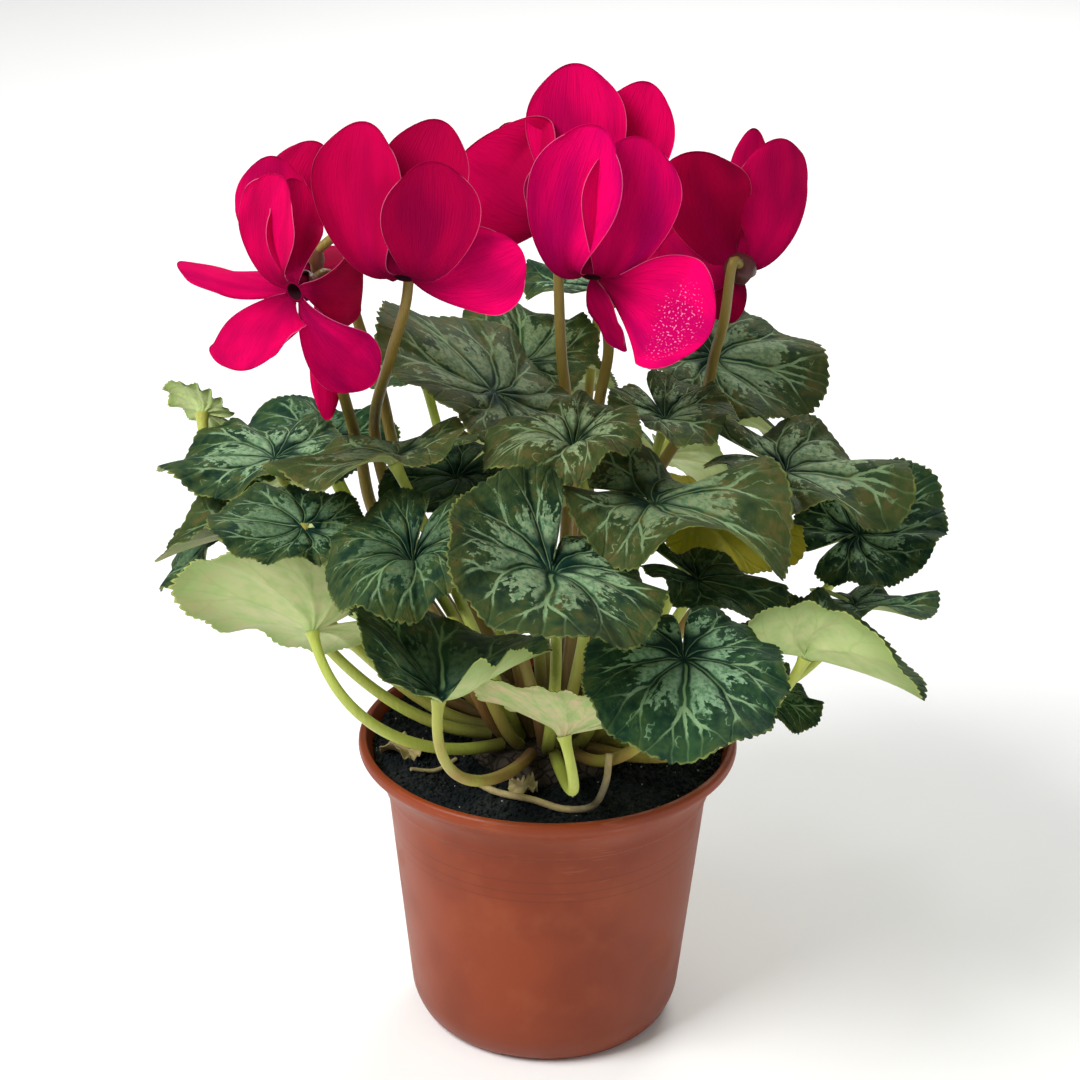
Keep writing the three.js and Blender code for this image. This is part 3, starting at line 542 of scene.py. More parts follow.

# %% [markdown]
# Petals
#
# A petal is saturated crimson with a velvety surface. Fine veins run from its root to its tip and
# spread as it widens. The root is darker and more purple, the rim is a hair-thin paler line, and
# painted shade darkens the middle fold towards the root. The attribute petal gives the way along,
# the way across from -1 to 1, and a number for each petal. A second attribute gives how deep the
# petal's red is, partly its own colour and partly painted shade for petals in shadow, with the
# throat painted nearly black as shade; its share of pollen; and a torn fleck.

# %% Mix the petal finish


def petal_finish():
    petal = Finish("petal_velvet", roughness=0.75, shine=0.03)
    along, across, number = petal.parts(petal.attribute("petal", "Vector"))
    red_depth_and_shade, pollen, torn = petal.parts(petal.attribute("petal_depth_shade_and_marks", "Vector"))
    own = petal.chance(number)
    veins = petal.noise(petal.vector(across * 9.0, along * 1.2, 0.0), 4.0, 2.0, 0.6, seed=number, kind="2D")
    cloud = petal.noise(petal.vector(across, along, 0.0), 1.6, 1.0, 0.5, seed=number, kind="2D")
    dots = petal.noise(petal.vector(across * 34.0, along * 56.0, 0.0), 1.0, 0.0, kind="2D")
    # Painted shade along the petal's middle fold, strongest at its root.
    crease_shade = petal.fall(abs(across), 0.02, 0.3) * (1 - along)
    root = petal.fall(along + cloud * 0.1, 0.04, 0.4)
    rim = petal.rise(abs(across) + veins * 0.02, 0.985, 1.005)
    heap = (across + 0.1) * (across + 0.1) + (along - 0.7) * (along - 0.7) * 8
    dusting = petal.rise(dots - heap * 0.2, 0.7, 0.78) * petal.fall(heap, 0.2, 0.5) * pollen
    apart = (across - 0.45) * (across - 0.45) + (along - 0.3) * (along - 0.3) * 6
    deep = petal.mix(red_depth_and_shade * 0.8, petal.mix(own, shade(176, 0, 60), shade(168, 0, 98)), shade(122, 0, 42))
    petal.colour(petal.paint(
        petal.mix(own, shade(250, 0, 98), shade(236, 0, 102)),
        # The depth deepens the whole petal: partly its own red, partly painted shade for petals in shadow.
        (red_depth_and_shade, shade(156, 0, 50)),
        (petal.rise(cloud, 0.35, 0.75) * 0.75, deep),
        (petal.rise(veins, 0.45, 0.75) * 0.3, shade(140, 0, 60)),
        (crease_shade * 0.5, shade(150, 0, 66)),
        (root * 0.8, shade(112, 0, 48)),
        (rim * 0.6, shade(252, 120, 168)),
        (dusting, shade(255, 132, 172)),
        # Painted shade: where the depth is over 1, inside the tube's throat, the colour turns nearly black.
        (petal.rise(red_depth_and_shade, 1.0, 1.4), shade(44, 14, 24)),
        (petal.fall(apart + dots * 0.05, 0.03, 0.04) * torn, shade(255, 214, 224)),
    ))
    petal.bump(veins, 0.0002)
    return petal.material


PETAL = petal_finish()
print("mixed", PETAL.name)

# %% [markdown]
# Making meshes
#
# Most pieces here follow a formula, so their points are worked out in arrays of numbers and made
# into a mesh in one go. The helpers cover a mesh with its faces, finishes and attributes, a turned
# form such as a pot, and a thin sheet such as a leaf or petal, which is a grid of points given a
# thickness along its own normals. The sheet's two faces each point outwards.

# %% Helpers for meshes


def linked_object(name, data):
    piece = bpy.data.objects.new(name, data)
    bpy.context.collection.objects.link(piece)
    return piece


def plain_mesh(piece):
    """What the piece's modifiers make of it. They are then removed."""
    ready = piece.evaluated_get(bpy.context.evaluated_depsgraph_get())
    mesh = bpy.data.meshes.new_from_object(ready)
    piece.modifiers.clear()
    return mesh


def new_piece(name, points, faces, finishes, finish_of=None, attributes=None):
    mesh = bpy.data.meshes.new(name)
    mesh.from_pydata([tuple(p) for p in points], [], [tuple(f) for f in faces])
    for finish in finishes:
        mesh.materials.append(finish)
    if finish_of is not None:
        mesh.polygons.foreach_set("material_index", list(finish_of))
    for key, values in (attributes or {}).items():
        kind = "FLOAT_VECTOR" if len(np.shape(values)) == 2 else "FLOAT"
        layer = mesh.attributes.new(key, kind, "POINT")
        layer.data.foreach_set("vector" if kind == "FLOAT_VECTOR" else "value", np.ravel(values))
    mesh.polygons.foreach_set("use_smooth", [True] * len(mesh.polygons))
    mesh.update()
    return linked_object(name, mesh)


def turned_form(profile, segments, shape=None):
    """Points and faces of a profile of (radius, height) turned about the Z axis."""
    points, rows = [], []
    for radius, height in profile:
        count = 1 if radius == 0 else segments
        rows.append([len(points) + j % count for j in range(segments + 1)])
        for j in range(count):
            angle = 2 * math.pi * j / segments
            r, z = shape(radius, height, angle) if shape else (radius, height)
            points.append((r * math.cos(angle), r * math.sin(angle), z))
    faces = []
    for low, high in zip(rows, rows[1:]):
        for j in range(segments):
            ring = (low[j], low[j + 1], high[j + 1], high[j])
            faces.append(tuple(dict.fromkeys(ring)))
    return points, faces


def sheet_normals(grid, round_about):
    """The way that the sheet faces at each point. A blade's grid closes round about, a petal's doesn't."""
    ahead = np.gradient(grid, axis=0)
    if round_about:
        aside = np.roll(grid, -1, axis=1) - np.roll(grid, 1, axis=1)
    else:
        aside = np.gradient(grid, axis=1)
    normal = np.cross(ahead, aside)
    return normal / np.maximum(np.linalg.norm(normal, axis=2, keepdims=True), 1e-12)


def sheet_faces(rows, columns, round_about):
    """The faces of the two sides, the second with its points after those of the first."""
    width = columns if round_about else columns - 1
    faces = []
    for start, step in ((0, 1), (rows * columns, -1)):
        for i in range(rows - 1):
            for j in range(width):
                a = start + i * columns + j
                b = start + i * columns + (j + 1) % columns
                faces.append((a, a + columns, b + columns, b)[::step])
    return faces


# %% [markdown]
# A tube along a path
#
# Petioles, flower stalks and dried stems are all tubes that follow a curve. One Geometry Nodes
# tree makes them: it resamples the path evenly, sets the radius from root to tip, stores how far
# along each point is, sweeps a circle and gives the result its finish. The radius may widen over
# the last stretch, as a petiole does where it spreads into the blade.

# %% Build the tube tree
FLARE_STEEPNESS = 40.0


class Tree(Network):
    """A Geometry Nodes tree with named inputs, given as fields."""

    def __init__(self, name, inputs):
        self.tree = bpy.data.node_groups.new(name, "GeometryNodeTree")
        self.add_socket("Geometry", "OUTPUT", "Geometry")
        self.add_socket("Geometry", "INPUT", "Geometry")
        self.keys = {label: self.add_socket(label, "INPUT", kind) for label, kind in inputs.items()}
        outputs = self.tree.nodes.new("NodeGroupInput").outputs
        self.given = {socket.name: Field(self, socket) for socket in outputs}

    def add_socket(self, label, side, kind):
        socket = self.tree.interface.new_socket(label, in_out=side, socket_type=f"NodeSocket{kind}")
        return socket.identifier

    def finish(self, geometry):
        real = self.node("GeometryNodeRealizeInstances", inputs={"Geometry": geometry})
        smooth = self.node("GeometryNodeSetShadeSmooth", inputs={"Geometry": real})
        values = {"Geometry": smooth, "Material": self.given["Material"]}
        done = self.node("GeometryNodeSetMaterial", inputs=values)
        self.plug(self.tree.nodes.new("NodeGroupOutput").inputs[0], done)

    def grow(self, holder, name, values):
        """The plain mesh that the tree makes of holder with the given inputs, as a new object."""
        modifier = holder.modifiers.new(self.tree.name, "NODES")
        modifier.node_group = self.tree
        for label, value in values.items():
            modifier[self.keys[label]] = value
        mesh = plain_mesh(holder)
        mesh.name = name
        return linked_object(name, mesh)


def tube_tree():
    tube = Tree("stem_tube", {
        "Root radius": "Float", "Tip radius": "Float", "Flare": "Float",
        "Sections": "Int", "Sides": "Int", "Material": "Material",
    })
    given = tube.given
    even = tube.node("GeometryNodeResampleCurve", inputs={
        "Curve": given["Geometry"], "Count": given["Sections"],
    })
    way = tube.node("GeometryNodeSplineParameter")
    plain = tube.math("MULTIPLY_ADD", way, given["Tip radius"] - given["Root radius"], given["Root radius"])
    near_tip = tube.math("POWER", way, FLARE_STEEPNESS)
    radius = tube.math("MULTIPLY_ADD", near_tip, given["Flare"], plain)
    sized = tube.node("GeometryNodeSetCurveRadius", inputs={"Curve": even, "Radius": radius})
    marked = tube.node("GeometryNodeStoreNamedAttribute", {"data_type": "FLOAT", "domain": "POINT"}, {
        "Geometry": sized, "Name": "along", "Value": way,
    })
    circle = tube.node("GeometryNodeCurvePrimitiveCircle", inputs={
        "Resolution": given["Sides"], "Radius": 1.0,
    })
    swept = tube.node("GeometryNodeCurveToMesh", inputs={
        "Curve": marked, "Profile Curve": circle, "Scale": tube.node("GeometryNodeInputRadius"),
        "Fill Caps": True,
    })
    tube.finish(swept)
    return tube


TUBE = tube_tree()


def grow_tube(name, points, root_radius, tip_radius, finish, sections, sides=12, flare=0.0, brown=0.3):
    """A stem along the points, all of it in millimetres."""
    path = bpy.data.curves.new(name + "_path", "CURVE")
    path.dimensions = "3D"
    spline = path.splines.new("POLY")
    spline.points.add(len(points) - 1)
    spline.points.foreach_set("co", [c for p in np.multiply(points, MM) for c in (*p, 1.0)])
    holder = linked_object(name + "_path", path)
    piece = TUBE.grow(holder, name, {
        "Root radius": root_radius * MM, "Tip radius": tip_radius * MM, "Flare": flare * MM,
        "Sections": sections, "Sides": sides, "Material": finish,
    })
    bpy.data.objects.remove(holder)
    layer = piece.data.attributes.new("stem_brown", "FLOAT", "POINT")
    layer.data.foreach_set("value", [brown] * len(piece.data.vertices))
    return piece


def join(pieces, name):
    """One object from several, with all their finishes and attributes."""
    with bpy.context.temp_override(active_object=pieces[0], selected_editable_objects=pieces):
        bpy.ops.object.join()
    pieces[0].name = name
    return pieces[0]


def stand_for(piece, node):
    """The finished piece takes the place of its plain solid and moves with the pot."""
    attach(piece, "root")
    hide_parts(node)


# %% [markdown]
# The pot
#
# A pot is a turned form, so its profile is all that has to be right: a foot ring, a floor, a
# gently tapered wall, a flared collar and a thick rounded lip. The profile below repeats the
# measured one, and short arcs round its corners.

# %% Turn the pot
POT_HEIGHT = 106.2
RIM_RADIUS = 65
RIM_RING = 2.6
NECK_HEIGHT = 87.7
NECK_RADIUS = 55.1
BASE_RADIUS = 45.9
WALL = 1.6
FLOOR_TOP = 4.8
FOOT_OUTER = 41
FOOT_INNER = 37.6
TAPER = (NECK_RADIUS - BASE_RADIUS) / NECK_HEIGHT
POT_SEGMENTS = 144
SHARP_EDGE = math.radians(50)


def wall_at(height):
    """The outer radius of the tapered wall."""
    return BASE_RADIUS + TAPER * height


# Radius, height and corner size of each point, from under the floor round to its top.
POT_PROFILE = [
    (0, 3, 0), (FOOT_INNER, 3, 0), (FOOT_INNER + 0.5, 0, 0.3), (FOOT_OUTER, 0, 0.8), (44.2, 3, 2.5),
    (wall_at(9), 9, 3), (wall_at(30), 30, 0), (wall_at(60), 60, 0),
    (NECK_RADIUS - 0.25, NECK_HEIGHT - 2, 0), (NECK_RADIUS, NECK_HEIGHT, 0.5),
    (NECK_RADIUS + 1, NECK_HEIGHT + 0.8, 0.5), (NECK_RADIUS + 1.4, 91.5, 1.5),
    (58, 95.6, 2), (60.6, 98.8, 1.5), (63.4, 101.2, 1),
    (RIM_RADIUS - 0.4, 102.2, 0.6), (RIM_RADIUS, 103.4, 0.6), (RIM_RADIUS - 0.2, 105.4, 0.6),
    (RIM_RADIUS - 1, POT_HEIGHT, 0.6), (RIM_RADIUS - RIM_RING, POT_HEIGHT, 0.5),
    (RIM_RADIUS - RIM_RING - 0.4, 105.4, 0.6), (60.2, 100.8, 2), (55.8, 95, 2),
    (NECK_RADIUS - WALL, NECK_HEIGHT, 1), (wall_at(12) - WALL, 12, 1), (42.4, FLOOR_TOP, 1),
    (0, FLOOR_TOP, 0),
]


def rounded(profile, steps=4):
    """The points of the profile, with its corners as short arcs."""
    result = []
    for i, (radius, height, size) in enumerate(profile):
        if not size:
            result.append((radius, height))
            continue
        here = Vector((radius, height))
        ways = [Vector(profile[k][:2]) - here for k in (i - 1, i + 1)]
        start, end = (here + way.normalized() * min(size, way.length * 0.45) for way in ways)
        for t in (step / steps for step in range(steps + 1)):
            result.append(tuple(start * (1 - t) ** 2 + here * 2 * t * (1 - t) + end * t * t))
    return result


points, faces = turned_form([(r * MM, z * MM) for r, z in rounded(POT_PROFILE)], POT_SEGMENTS)
pot = new_piece("pot_shell", points, faces, [POT_PLASTIC])
print("pot faces before the cuts:", len(faces))

# %% [markdown]
# Holes and notches
#
# Water leaves through six holes in the floor and four notches in the foot ring, so that the holes
# aren't sealed when the pot stands in a saucer. They go right through, so each one is cut with a
# Boolean modifier, which is then applied.

# %% Cut the drain holes and the notches
HOLES = 6
HOLE_RING = 27
HOLE_RADIUS = 4
HOLE_TOP = 8
HOLE_SEGMENTS = 32
NOTCHES = 4
FIRST_NOTCH = -101.5
NOTCH_REACH = 6
NOTCH_HALF = 6.5
NOTCH_TOP = 2
BOX_FACES = [(3, 2, 1, 0), (4, 5, 6, 7), (0, 1, 5, 4), (1, 2, 6, 5), (2, 3, 7, 6), (3, 0, 4, 7)]


def cut(piece, points, faces):
    cutter = new_piece("cutter", points, faces, [])
    modifier = piece.modifiers.new("cut", "BOOLEAN")
    modifier.operation = "DIFFERENCE"
    modifier.solver = "EXACT"
    modifier.object = cutter
    piece.data = plain_mesh(piece)
    bpy.data.objects.remove(cutter)


for i in range(HOLES):
    angle = math.pi * (2 * i + 1) / HOLES
    rod = [(0, 0), (HOLE_RADIUS, 0), (HOLE_RADIUS, HOLE_TOP), (0, HOLE_TOP)]
    points, faces = turned_form([(r * MM, z * MM) for r, z in rod], HOLE_SEGMENTS)
    centre = (HOLE_RING * MM * math.cos(angle), HOLE_RING * MM * math.sin(angle), 0)
    cut(pot, [tuple(np.add(p, centre)) for p in points], faces)
for i in range(NOTCHES):
    angle = math.radians(FIRST_NOTCH + 360 / NOTCHES * i)
    along = Vector((math.cos(angle), math.sin(angle), 0))
    aside = Vector((-math.sin(angle), math.cos(angle), 0))
    middle = along * (FOOT_OUTER + FOOT_INNER) / 2
    box = [(middle + along * a * NOTCH_REACH + aside * b * NOTCH_HALF + Vector((0, 0, z))) * MM
           for z in (-NOTCH_TOP, NOTCH_TOP) for a, b in ((-1, -1), (1, -1), (1, 1), (-1, 1))]
    cut(pot, box, BOX_FACES)
pot.data.set_sharp_from_angle(angle=SHARP_EDGE)
stand_for(pot, "pot")
print("pot faces:", len(pot.data.polygons))

# %% [markdown]
# The soil
#
# The soil fills the pot to just under the lip. Its body is a turned form with a slightly uneven
# top and a hollow for the tuber, as measured. Fine noise roughens the top between the lumps.

# %% Fill the pot
GAP = 0.35
SOIL_TOP = 101.6
SOIL_BUMP = 0.7
SOIL_EDGE = 59.8
SOIL_HOLLOW = 28.4
SOIL_RINGS = 34
SOIL_SEGMENTS = 200
TUBER_RADIUS = 27


def soil_height(r, angle):
    lumps = math.sin(3 * angle + r * 0.31) + math.sin(5 * angle - r * 0.22 + 1.3)
    return SOIL_TOP + SOIL_BUMP * lumps - 0.5 + (r / 60) * 0.4


def crumbly(r, z, angle):
    """The soil's body in metres, with fine noise on its top only."""
    if z < SOIL_TOP:
        return r * MM, z * MM
    spot = Vector((r * math.cos(angle), r * math.sin(angle), 0))
    fine = noise.noise(spot * 0.35) * 0.7 + noise.noise(spot * 1.1) * 0.45
    return r * MM, (soil_height(r, angle) + fine) * MM


soil_profile = [
    (0, FLOOR_TOP + GAP), (41.8, FLOOR_TOP + GAP), (44.8, 12.3), (53, NECK_HEIGHT), (55.1, 95.4),
    (58.9, 100.4),
    *[(SOIL_EDGE - i * (SOIL_EDGE - SOIL_HOLLOW) / SOIL_RINGS, SOIL_TOP) for i in range(SOIL_RINGS + 1)],
    (TUBER_RADIUS + GAP, 98), (TUBER_RADIUS - 5, 91.6), (14, 88.6), (0, 87.6),
]
points, faces = turned_form(soil_profile, SOIL_SEGMENTS, crumbly)
soil = new_piece("soil_bed", points, faces, [SOIL])
print("soil faces:", len(faces))

# %% [markdown]
# Crumbs and grit
#
# On the soil lie thousands of crumbs. A Geometry Nodes tree scatters them over the upper faces with
# a fixed seed: small lumpy balls, each turned and sized at random. The same tree, with fewer and
# smaller balls, gives the pale grit.

# %% Scatter the crumbs and the grit
LOWEST_CRUMB = 99.2 * MM
LEAST_FACING = 0.4
FULL_TURN = 6.283
CRUMB_SQUASH = (0.75, 0.6)
LUMP_SCALE = 900.0


def scatter_tree():
    scatter = Tree("crumbs", {
        "Density": "Float", "Smallest": "Float", "Largest": "Float", "Seed": "Int", "Material": "Material",
    })
    given = scatter.given
    place = scatter.node("GeometryNodeInputPosition")
    facing = scatter.node("GeometryNodeInputNormal")
    height, upward = (scatter.node("ShaderNodeSeparateXYZ", inputs={0: v}, output=2) for v in (place, facing))
    high = scatter.math("GREATER_THAN", height, LOWEST_CRUMB)
    spots = scatter.node("GeometryNodeDistributePointsOnFaces", inputs={
        "Mesh": given["Geometry"], "Selection": high * scatter.math("GREATER_THAN", upward, LEAST_FACING),
        "Density": given["Density"], "Seed": given["Seed"],
    })
    ball = scatter.node("GeometryNodeMeshIcoSphere", inputs={"Radius": 1.0, "Subdivisions": 1})
    turn = scatter.node("FunctionNodeRandomValue", {"data_type": "FLOAT_VECTOR"}, {
        0: (0, 0, 0), 1: (FULL_TURN, FULL_TURN, FULL_TURN), "Seed": 1,
    })
    size = scatter.node("FunctionNodeRandomValue", {"data_type": "FLOAT"}, {
        2: given["Smallest"], 3: given["Largest"], "Seed": 2,
    }, output=1)
    squashed = scatter.node("ShaderNodeCombineXYZ", inputs={
        0: size, 1: size * CRUMB_SQUASH[0], 2: size * CRUMB_SQUASH[1],
    })
    crumbs = scatter.node("GeometryNodeInstanceOnPoints", inputs={
        "Points": spots, "Instance": ball, "Rotation": turn, "Scale": squashed,
    })
    real = scatter.node("GeometryNodeRealizeInstances", inputs={"Geometry": crumbs})
    lumps = scatter.node("ShaderNodeTexNoise", inputs={"Vector": place, "Scale": LUMP_SCALE}, output=1)
    push = scatter.node("ShaderNodeVectorMath", {"operation": "SUBTRACT"}, {0: lumps, 1: (0.5, 0.5, 0.5)})
    shift = scatter.node("ShaderNodeVectorMath", {"operation": "SCALE"}, {0: push, "Scale": given["Largest"]})
    scatter.finish(scatter.node("GeometryNodeSetPosition", inputs={"Geometry": real, "Offset": shift}))
    return scatter


CRUMBS = scatter_tree()
crumbs = CRUMBS.grow(soil, "soil_crumbs", {
    "Density": 420000.0, "Smallest": 0.5 * MM, "Largest": 1.5 * MM, "Seed": 3, "Material": SOIL,
})
grit = CRUMBS.grow(soil, "soil_grit", {
    "Density": 12000.0, "Smallest": 0.25 * MM, "Largest": 0.7 * MM, "Seed": 8, "Material": GRIT,
})
for piece in (soil, crumbs, grit):
    stand_for(piece, "soil")
print("crumb faces:", len(crumbs.data.polygons), "grit faces:", len(grit.data.polygons))

# %% [markdown]
# The tuber
#
# A cyclamen grows from a flat round tuber that sits half out of the soil. It is a turned form,
# roughened with noise along its normals, and mostly hidden by the stems that rise from it.

# %% Turn the tuber
TUBER_FLAT = 21.5
CROWN = 105.9
CROWN_SKIN = CROWN - 0.3
TUBER_SEGMENTS = 96


def knobbly(r, z, angle):
    """The tuber's skin in metres, which may sink by more than it may rise."""
    spot = Vector((r * math.cos(angle), r * math.sin(angle), z)) * 0.16
    bump = 0.5 * noise.noise(spot) + 0.25 * noise.noise(spot * 3)
    return (r + min(bump, 0.3)) * MM, (z + min(bump, 0.25)) * MM


tuber_profile = [
    (0, 88.2), (13.6, 89.4), (TUBER_RADIUS - 5.4, 92.4), (TUBER_RADIUS - 2.2, 95), (TUBER_RADIUS - 0.6, 98),
    (TUBER_RADIUS - 0.5, 100.5), (TUBER_RADIUS - 1.4, 102.6), (TUBER_RADIUS - 3.2, 104.6),
    *[(r, CROWN_SKIN) for r in (TUBER_FLAT, 16, 10, 5, 0)],
]
points, faces = turned_form(tuber_profile, TUBER_SEGMENTS, knobbly)
stand_for(new_piece("tuber_body", points, faces, [CORK]), "tuber")
print("tuber faces:", len(faces))

# %% [markdown]
# The leaves
#
# Every leaf is a heart whose notch sits over its petiole. The blade could be cut from a flat disc
# and bent, but a formula keeps it smooth: in each direction from the petiole the blade is an arc,
# so a few angles say how it cups, folds, rolls its margin, nods at the tip or waves. The numbers
# of each leaf are those of the measured model, in millimetres and degrees, with +Z up:
# at is where blade and petiole meet, heading the way the tip points, pitch how far the tip rises
# and bank how far the left margin rises; cup, fold, curl, nod, lean and wave shape the arcs;
# ring and root say where on the crown the petiole grows; drop how long it comes up below the blade.
# age turns the pattern from blue-green to olive brown. silver is how strongly the blade shows its
# silver, of which the inner and hanging leaves have little; as they lie in shade, this is partly
# painted shade and partly the blade's own pattern.

# %% The leaves and their numbers
PLAIN_LEAF = dict(
    pitch=-10, bank=0, cup=18, fold=0, curl=-28, nod=-6, lean=0, split=0, wave=14, waves=5, swing=0,
    drop=0.4, arrive=None, age=0.2, silver=1.0,
)
LEAVES = {
    "front_centre": dict(
        at=(0, -81, 205), size=48, heading=-95, pitch=-4, bank=-16, cup=16, curl=-10, nod=-12, split=-50,
        wave=8, swing=40, ring=3, root=-90, arrive=(5, 18, -38), age=0.3,
    ),
    "front_low_right": dict(
        at=(41, -88, 178), size=42, heading=-90, pitch=-22, cup=12, curl=-30, nod=22, wave=7, ring=4,
        root=-64, age=0.0,
    ),
    "top_curled": dict(
        at=(7, -31, 223), size=36, heading=-140, pitch=-8, cup=62, curl=-95, nod=-10, wave=14, swing=40,
        ring=2, root=-70, age=0.6,
    ),
    "top_bowl": dict(
        at=(37, -4, 224), size=28, heading=-60, pitch=-5, cup=28, curl=-22, ring=2, root=-36, age=0.5,
        silver=0.75,
    ),
    "top_left": dict(
        at=(-19, 4, 230), size=46, heading=142, pitch=27, bank=10, cup=8, curl=-14, wave=10, ring=1,
        root=168, age=0.55, silver=0.65,
    ),
    "top_back": dict(
        at=(-10, 60, 219), size=37, heading=95, pitch=12, ring=2, root=98, age=0.5, silver=0.6,
    ),
    "back_right": dict(
        at=(56, 49, 225), size=38, heading=0, pitch=-15, bank=30, lean=-12, ring=3, root=40, age=0.45,
        silver=0.7,
    ),
    "right_wavy": dict(
        at=(78, 2, 203.5), size=40, heading=-12, pitch=-10, bank=4, wave=22, swing=20, ring=3, root=8,
        age=0.5,
    ),
    "far_right": dict(at=(104, 12, 177), size=32, heading=28, pitch=22, bank=28, ring=4, root=17, age=0.1),
    "centre_right": dict(
        at=(33, -42, 211), size=46, heading=-30, pitch=0, cup=10, curl=-20, wave=32, waves=4, swing=-110,
        ring=3, root=-52, age=0.55, silver=0.7,
    ),
    "right_tip_rolled": dict(
        at=(102, -13, 161.5), size=26, heading=-20, pitch=-5, bank=-12, nod=20, ring=4, root=-11,
        silver=0.5,
    ),
    "right_cupped": dict(
        at=(81.5, -56.5, 165.5), size=38, heading=-8, pitch=-4, bank=-22, cup=18, fold=24, curl=-6, nod=-6,
        wave=4, ring=4, root=-45,
    ),
    "right_small": dict(at=(70, -37, 142), size=20, heading=-30, pitch=-20, ring=4, root=-27, silver=0.4),
    "low_centre": dict(
        at=(5, -80, 149), size=30, heading=180, pitch=12, bank=40, cup=22, curl=-6, wave=4, ring=4,
        root=-83, age=0.9,
    ),
    "low_left": dict(
        at=(-34, -84, 163), size=48, heading=93, pitch=0, bank=14, cup=30, fold=8, curl=-6, nod=-30,
        split=-30, wave=6, ring=4, root=-106, silver=0.3,
    ),
    "left_gutter": dict(
        at=(-43, -63, 198), size=36, heading=-118, pitch=-14, cup=60, curl=-80, nod=-30, wave=12, swing=90,
        ring=3, root=-128, arrive=(14, 54, -36), age=0.25, silver=0.35,
    ),
    "left_funnel": dict(
        at=(-76, -45, 167), size=45, heading=172, pitch=8, bank=54, cup=24, curl=-6, nod=-34, split=30,
        wave=6, ring=4, root=-141, age=0.4,
    ),
    "left_flat": dict(
        at=(-78.5, -47, 203.5), size=28.5, heading=176, pitch=4, bank=-10, cup=6, curl=-8, wave=8, ring=3,
        root=-154, arrive=(38, 24, -4), age=0.2, silver=0.55,
    ),
    "left_wavy": dict(at=(-93, 14, 201), size=37, heading=184, pitch=-6, ring=3, root=168, age=0.2),
    "left_raised": dict(
        at=(-98, -15, 188), size=30, heading=188, pitch=-2, bank=12, cup=16, fold=22, curl=-10, wave=6,
        ring=4, root=-166, age=0.5, silver=0.5,
    ),
    "back_left": dict(
        at=(-80, 45, 193), size=36, heading=165, pitch=0, bank=-8, ring=3, root=149, age=0.05, silver=0.4,
    ),
    "far_left_turned": dict(
        at=(-119, 42, 207), size=15, heading=160, pitch=20, bank=60, wave=4, ring=4, root=160,
    ),
    "left_hanging": dict(at=(-113, 8, 177), size=26, heading=190, pitch=-50, ring=4, root=180, silver=0.3),
    "left_edge_on": dict(
        at=(-50, -37, 223), size=39, heading=174, pitch=-12, bank=12, ring=2, root=-150, age=0.6,
        silver=0.5,
    ),
    "left_inner": dict(at=(-31, -10, 205), size=28, heading=-135, pitch=-14, ring=2, root=-98, silver=0.2),
    "inner_right": dict(at=(48, -36, 181), size=28, heading=-15, pitch=-14, ring=3, root=-35, silver=0.2),
    "yellowing": dict(at=(51, -14, 193), size=33, heading=-35, ring=3, root=-16, age=1.0, silver=0.3),
    "rear_1": dict(at=(17, 86, 237), size=38, heading=70, pitch=0, ring=2, root=74),
    "rear_2": dict(at=(-6, 94, 197), size=40, heading=88, pitch=-25, ring=3, root=90),
    "rear_3": dict(at=(-45, 76, 208), size=40, heading=122, pitch=-15, ring=2, root=135),
    "rear_4": dict(at=(88, 66, 182), size=38, heading=38, pitch=-35, ring=4, root=38),
    "rear_5": dict(at=(-78, 80, 170), size=38, heading=138, pitch=-30, ring=4, root=136),
    "rear_6": dict(at=(40, 98, 168), size=38, heading=68, pitch=-35, ring=4, root=68),
    "rear_7": dict(at=(-25, 98, 164), size=38, heading=104, pitch=-35, ring=4, root=106),
}
print("leaves:", len(LEAVES))

# %% [markdown]
# The blade as a sheet
#
# The arcs are worked out for a whole grid of directions and distances at once. The margin gets
# fine uneven teeth, the veins are pressed into the upper face and stand out below, and the sheet
# between them is slightly quilted, as it is on the real leaf. The two faces and the margin between
# them then become one closed body.

# %% Shape a blade
BLADE_SHARES = (
    0.02, 0.05, 0.09, 0.14, 0.2, 0.27, 0.35, 0.43, 0.51, 0.59, 0.67, 0.75, 0.82, 0.88, 0.93, 0.965,
    0.985, 1.0,
)
TEETH = 84
BLADE_COLUMNS = TEETH * 3
TOOTH_DEPTH = 0.02
HEART = (0.81, 0.14, 0.06, 0.02)
NOTCH_DEPTH = 0.9
NOTCH_WIDTH = math.radians(4.5)
TIP_POINT = 0.05
TIP_WIDTH = math.radians(12)
BLADE_THICKNESS = 0.55
QUILT_HEIGHT = 2.2
QUILT_REACH = 4
GROOVE_DEPTH = 0.4
RIB_HEIGHT = 0.8
VEIN_REACH = 0.9
BOSS_HEIGHT = 1.6
BOSS_REACH = 2.4
UNEVENNESS = 0.012
FRILL = (0.15, 0.5)
UPPER_MIDDLE = 0.1
LOWER_MIDDLE = 2.2
LEAST_BEND = 1e-4


def hump(distance, reach):
    """1 where the distance is 0, and falling smoothly away over the reach."""
    return np.exp(-((distance / reach) ** 2))


def leaf_axes(leaf):
    """The ways that the tip, the left margin and the upper face of a leaf point."""
    h, p, b = (math.radians(leaf[key]) for key in ("heading", "pitch", "bank"))
    tip = Vector((math.cos(p) * math.cos(h), math.cos(p) * math.sin(h), math.sin(p)))
    level = Vector((-math.sin(h), math.cos(h), 0))
    side = level * math.cos(b) + tip.cross(level) * math.sin(b)
    return tip, side, tip.cross(side)


def vein_relief(angle, share, size):
    """How far each point lies from the nearest main vein, in millimetres."""
    arched = angle - np.sin(angle) * (1 - share) ** 2 * VEIN_ARCH
    turns = arched / VEIN_SPACING
    return np.abs(turns - np.round(turns)) * VEIN_SPACING * share * size


def notch_shape(angle):
    """How far the blade reaches in each direction, which is hardly at all in the heart's notch."""
    return 1 - NOTCH_DEPTH * np.exp(-(((math.pi - np.abs(angle)) / NOTCH_WIDTH) ** 1.5))


